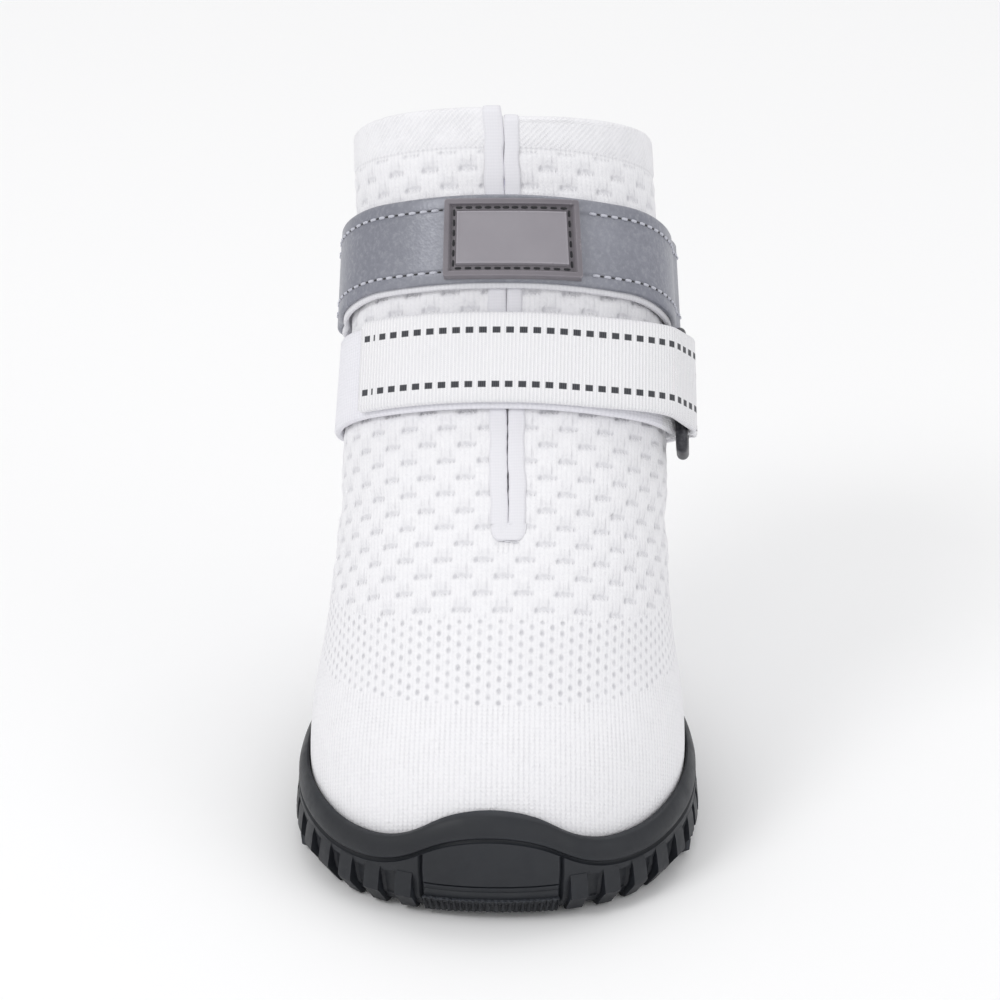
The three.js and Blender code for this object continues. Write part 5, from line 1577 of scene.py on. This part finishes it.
    # serrated lip under the toe guard
    edge_u = float(np.arcsin(np.clip((10.1 / SOLE_HALF) ** (FORE_POWER / 2), 0, 1)))
    n = 85
    uu = np.linspace(-edge_u, edge_u, n)
    tooth = np.array([(0.0, 0.0, 0.42, 0.42)[i % 4] for i in range(n)])
    rows = []
    for inset, z, bite in [(3.6, 1.9, 0), (3.4, 0.1, 0), (1.9, 0.06, 0.6), (1.3, 0.25, 1), (0.62, 1.5, 1), (0.22, 2.4, 1), (0.02, 3.1, 0.5), (0.0, 3.35, 0), (0.6, 3.6, 0)]:
        x, y = outline(uu, inset + tooth * bite)
        rows.append(np.stack([x, y, z + lift(x, y) * (1 if z < 3 else 0.4)], -1))
    b.grid(np.stack(rows), flip=False, mat=0)
    return b.object("sole_tread_blocks", [RUBBER_TREAD, RUBBER], sharp=40)


build_tread()

# ------------------------------------------------------------------ insole
def build_insole():
    """The insole's own outline and height, with a rounded edge and a slightly dished cloth top."""
    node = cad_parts["insole"]
    pts = np.array([list(node.matrix_world @ w.co) for w in node.data.vertices]) * 1000.0
    z0, z1 = pts[:, 2].min(), pts[:, 2].max()
    ring = pts[pts[:, 2] > z1 - 0.05]
    mid = (ring[:, :2].min(0) + ring[:, :2].max(0)) / 2
    a = np.arctan2(ring[:, 1] - mid[1], ring[:, 0] - mid[0])
    r = np.hypot(ring[:, 1] - mid[1], ring[:, 0] - mid[0])
    outer = []
    cells = np.round(a / 0.02).astype(int)
    for c in sorted(set(cells)):
        k = np.where(cells == c)[0]
        outer.append(k[np.argmax(r[k])])
    outer = np.array(outer)
    keep = outer[r[outer] > 0.8 * np.interp(a[outer], a[outer], np.maximum(r[outer], np.median(r[outer]) * 0.8))]
    n = 180
    th = np.linspace(-PI, PI, n, endpoint=False)
    rad = np.interp(th, a[keep], r[keep], period=2 * PI)
    wave = np.fft.rfft(rad)
    wave[15:] = 0
    rad = np.fft.irfft(wave, n)
    direction = np.stack([np.cos(th), np.sin(th)], -1)
    h = z1 - z0
    rows = [(0.55, z0), (0.12, z0), (0.0, z0 + 0.15)]
    rows += [(0.0, z0 + h - 0.5), (0.04, z0 + h - 0.28), (0.16, z0 + h - 0.10), (0.38, z0 + h - 0.01), (0.75, z1)]
    b = Build()
    out = []
    for inset, z in rows:
        p = mid + direction * (rad - inset)[:, None]
        out.append(np.concatenate([p, np.full((n, 1), z)], -1))
    for f in np.linspace(0.96, 0.02, 34):
        p = mid + direction * ((rad - 0.75) * f)[:, None]
        dish = -0.32 * (1 - smoothstep((f - 0.25) / 0.72)) + 0.05 * np.sin(p[:, 1] * 0.21 + 0.6) * (1 - f)
        out.append(np.concatenate([p, (z1 + dish)[:, None]], -1))
    P = np.stack(out)
    uv = P[..., :2].copy()
    b.grid(P, uv, wrap=True)
    rows_n, start = P.shape[0], 0
    b.f.append([start + (rows_n - 1) * n + i for i in range(n)])
    b.m.append(0)
    b.f.append([start + i for i in range(n)][::-1])
    b.m.append(0)
    b.object("insole_cloth", [INSOLE], replaces=["insole"])


INSOLE = cloth_material("insole_cloth_fabric", (0.66, 0.66, 0.70), (0.48, 0.48, 0.53), 0.8, 0.8, 0.2, rough=0.95, fuzz=0.4, sheen=0.3)
build_insole()

# ------------------------------------------------------------------ floor, light, camera
me = bpy.data.meshes.new("floor")
me.from_pydata([(-3, -3, 0), (3, -3, 0), (3, 3, 0), (-3, 3, 0)], [], [(0, 1, 2, 3)])
floor = bpy.data.objects.new("floor", me)
bpy.context.scene.collection.objects.link(floor)
fm = Nodes("floor_pale")
me.materials.append(fm.finish(fm.mix(fm.noise(3, 2), (0.93, 0.93, 0.935), (0.90, 0.90, 0.905)), 0.8))

world = bpy.data.worlds.new("studio")
bpy.context.scene.world = world
world.use_nodes = True
world.node_tree.nodes["Background"].inputs[0].default_value = (1.0, 1.0, 1.0, 1)
world.node_tree.nodes["Background"].inputs[1].default_value = 0.785


def area(name, loc, target, size, power, color=(1, 1, 1)):
    light = bpy.data.lights.new(name, "AREA")
    light.shape = "RECTANGLE"
    light.size, light.size_y = size
    light.energy = power
    light.color = color
    o = bpy.data.objects.new(name, light)
    bpy.context.scene.collection.objects.link(o)
    o.location = loc
    o.rotation_euler = (Vector(target) - Vector(loc)).to_track_quat("-Z", "Y").to_euler()
    return o


area("key", (-0.55, -0.45, 0.75), (0, 0, 0.05), (0.35, 0.35), 2.3)
area("fill", (0.7, -0.5, 0.4), (0, 0, 0.05), (0.5, 0.5), 0.70, (0.96, 0.97, 1.0))
area("front", (0.0, -0.95, 0.35), (0, 0, 0.04), (0.7, 0.3), 0.5)
area("top", (0.1, 0.35, 0.9), (0, 0.02, 0.05), (0.6, 0.4), 1.2)

cam_data = bpy.data.cameras.new("camera")
cam = bpy.data.objects.new("camera", cam_data)
bpy.context.scene.collection.objects.link(cam)
bpy.context.scene.camera = cam
ELEV, YAW, DIST = math.radians(25), math.radians(1.8), 0.78
target = Vector((0.0, -0.0105, 0.0485))
back = Vector((math.sin(YAW) * math.cos(ELEV), -math.cos(YAW) * math.cos(ELEV), math.sin(ELEV)))
cam.location = target + back * DIST
cam.rotation_mode = "QUATERNION"
cam.rotation_quaternion = (-back).to_track_quat("-Z", "Y")
cam_data.sensor_width = 36
cam_data.lens = 36 * DIST / 0.150
cam_data.clip_start, cam_data.clip_end = 0.05, 20
cam_data.dof.use_dof = False

bpy.context.scene.view_settings.view_transform = "Standard"
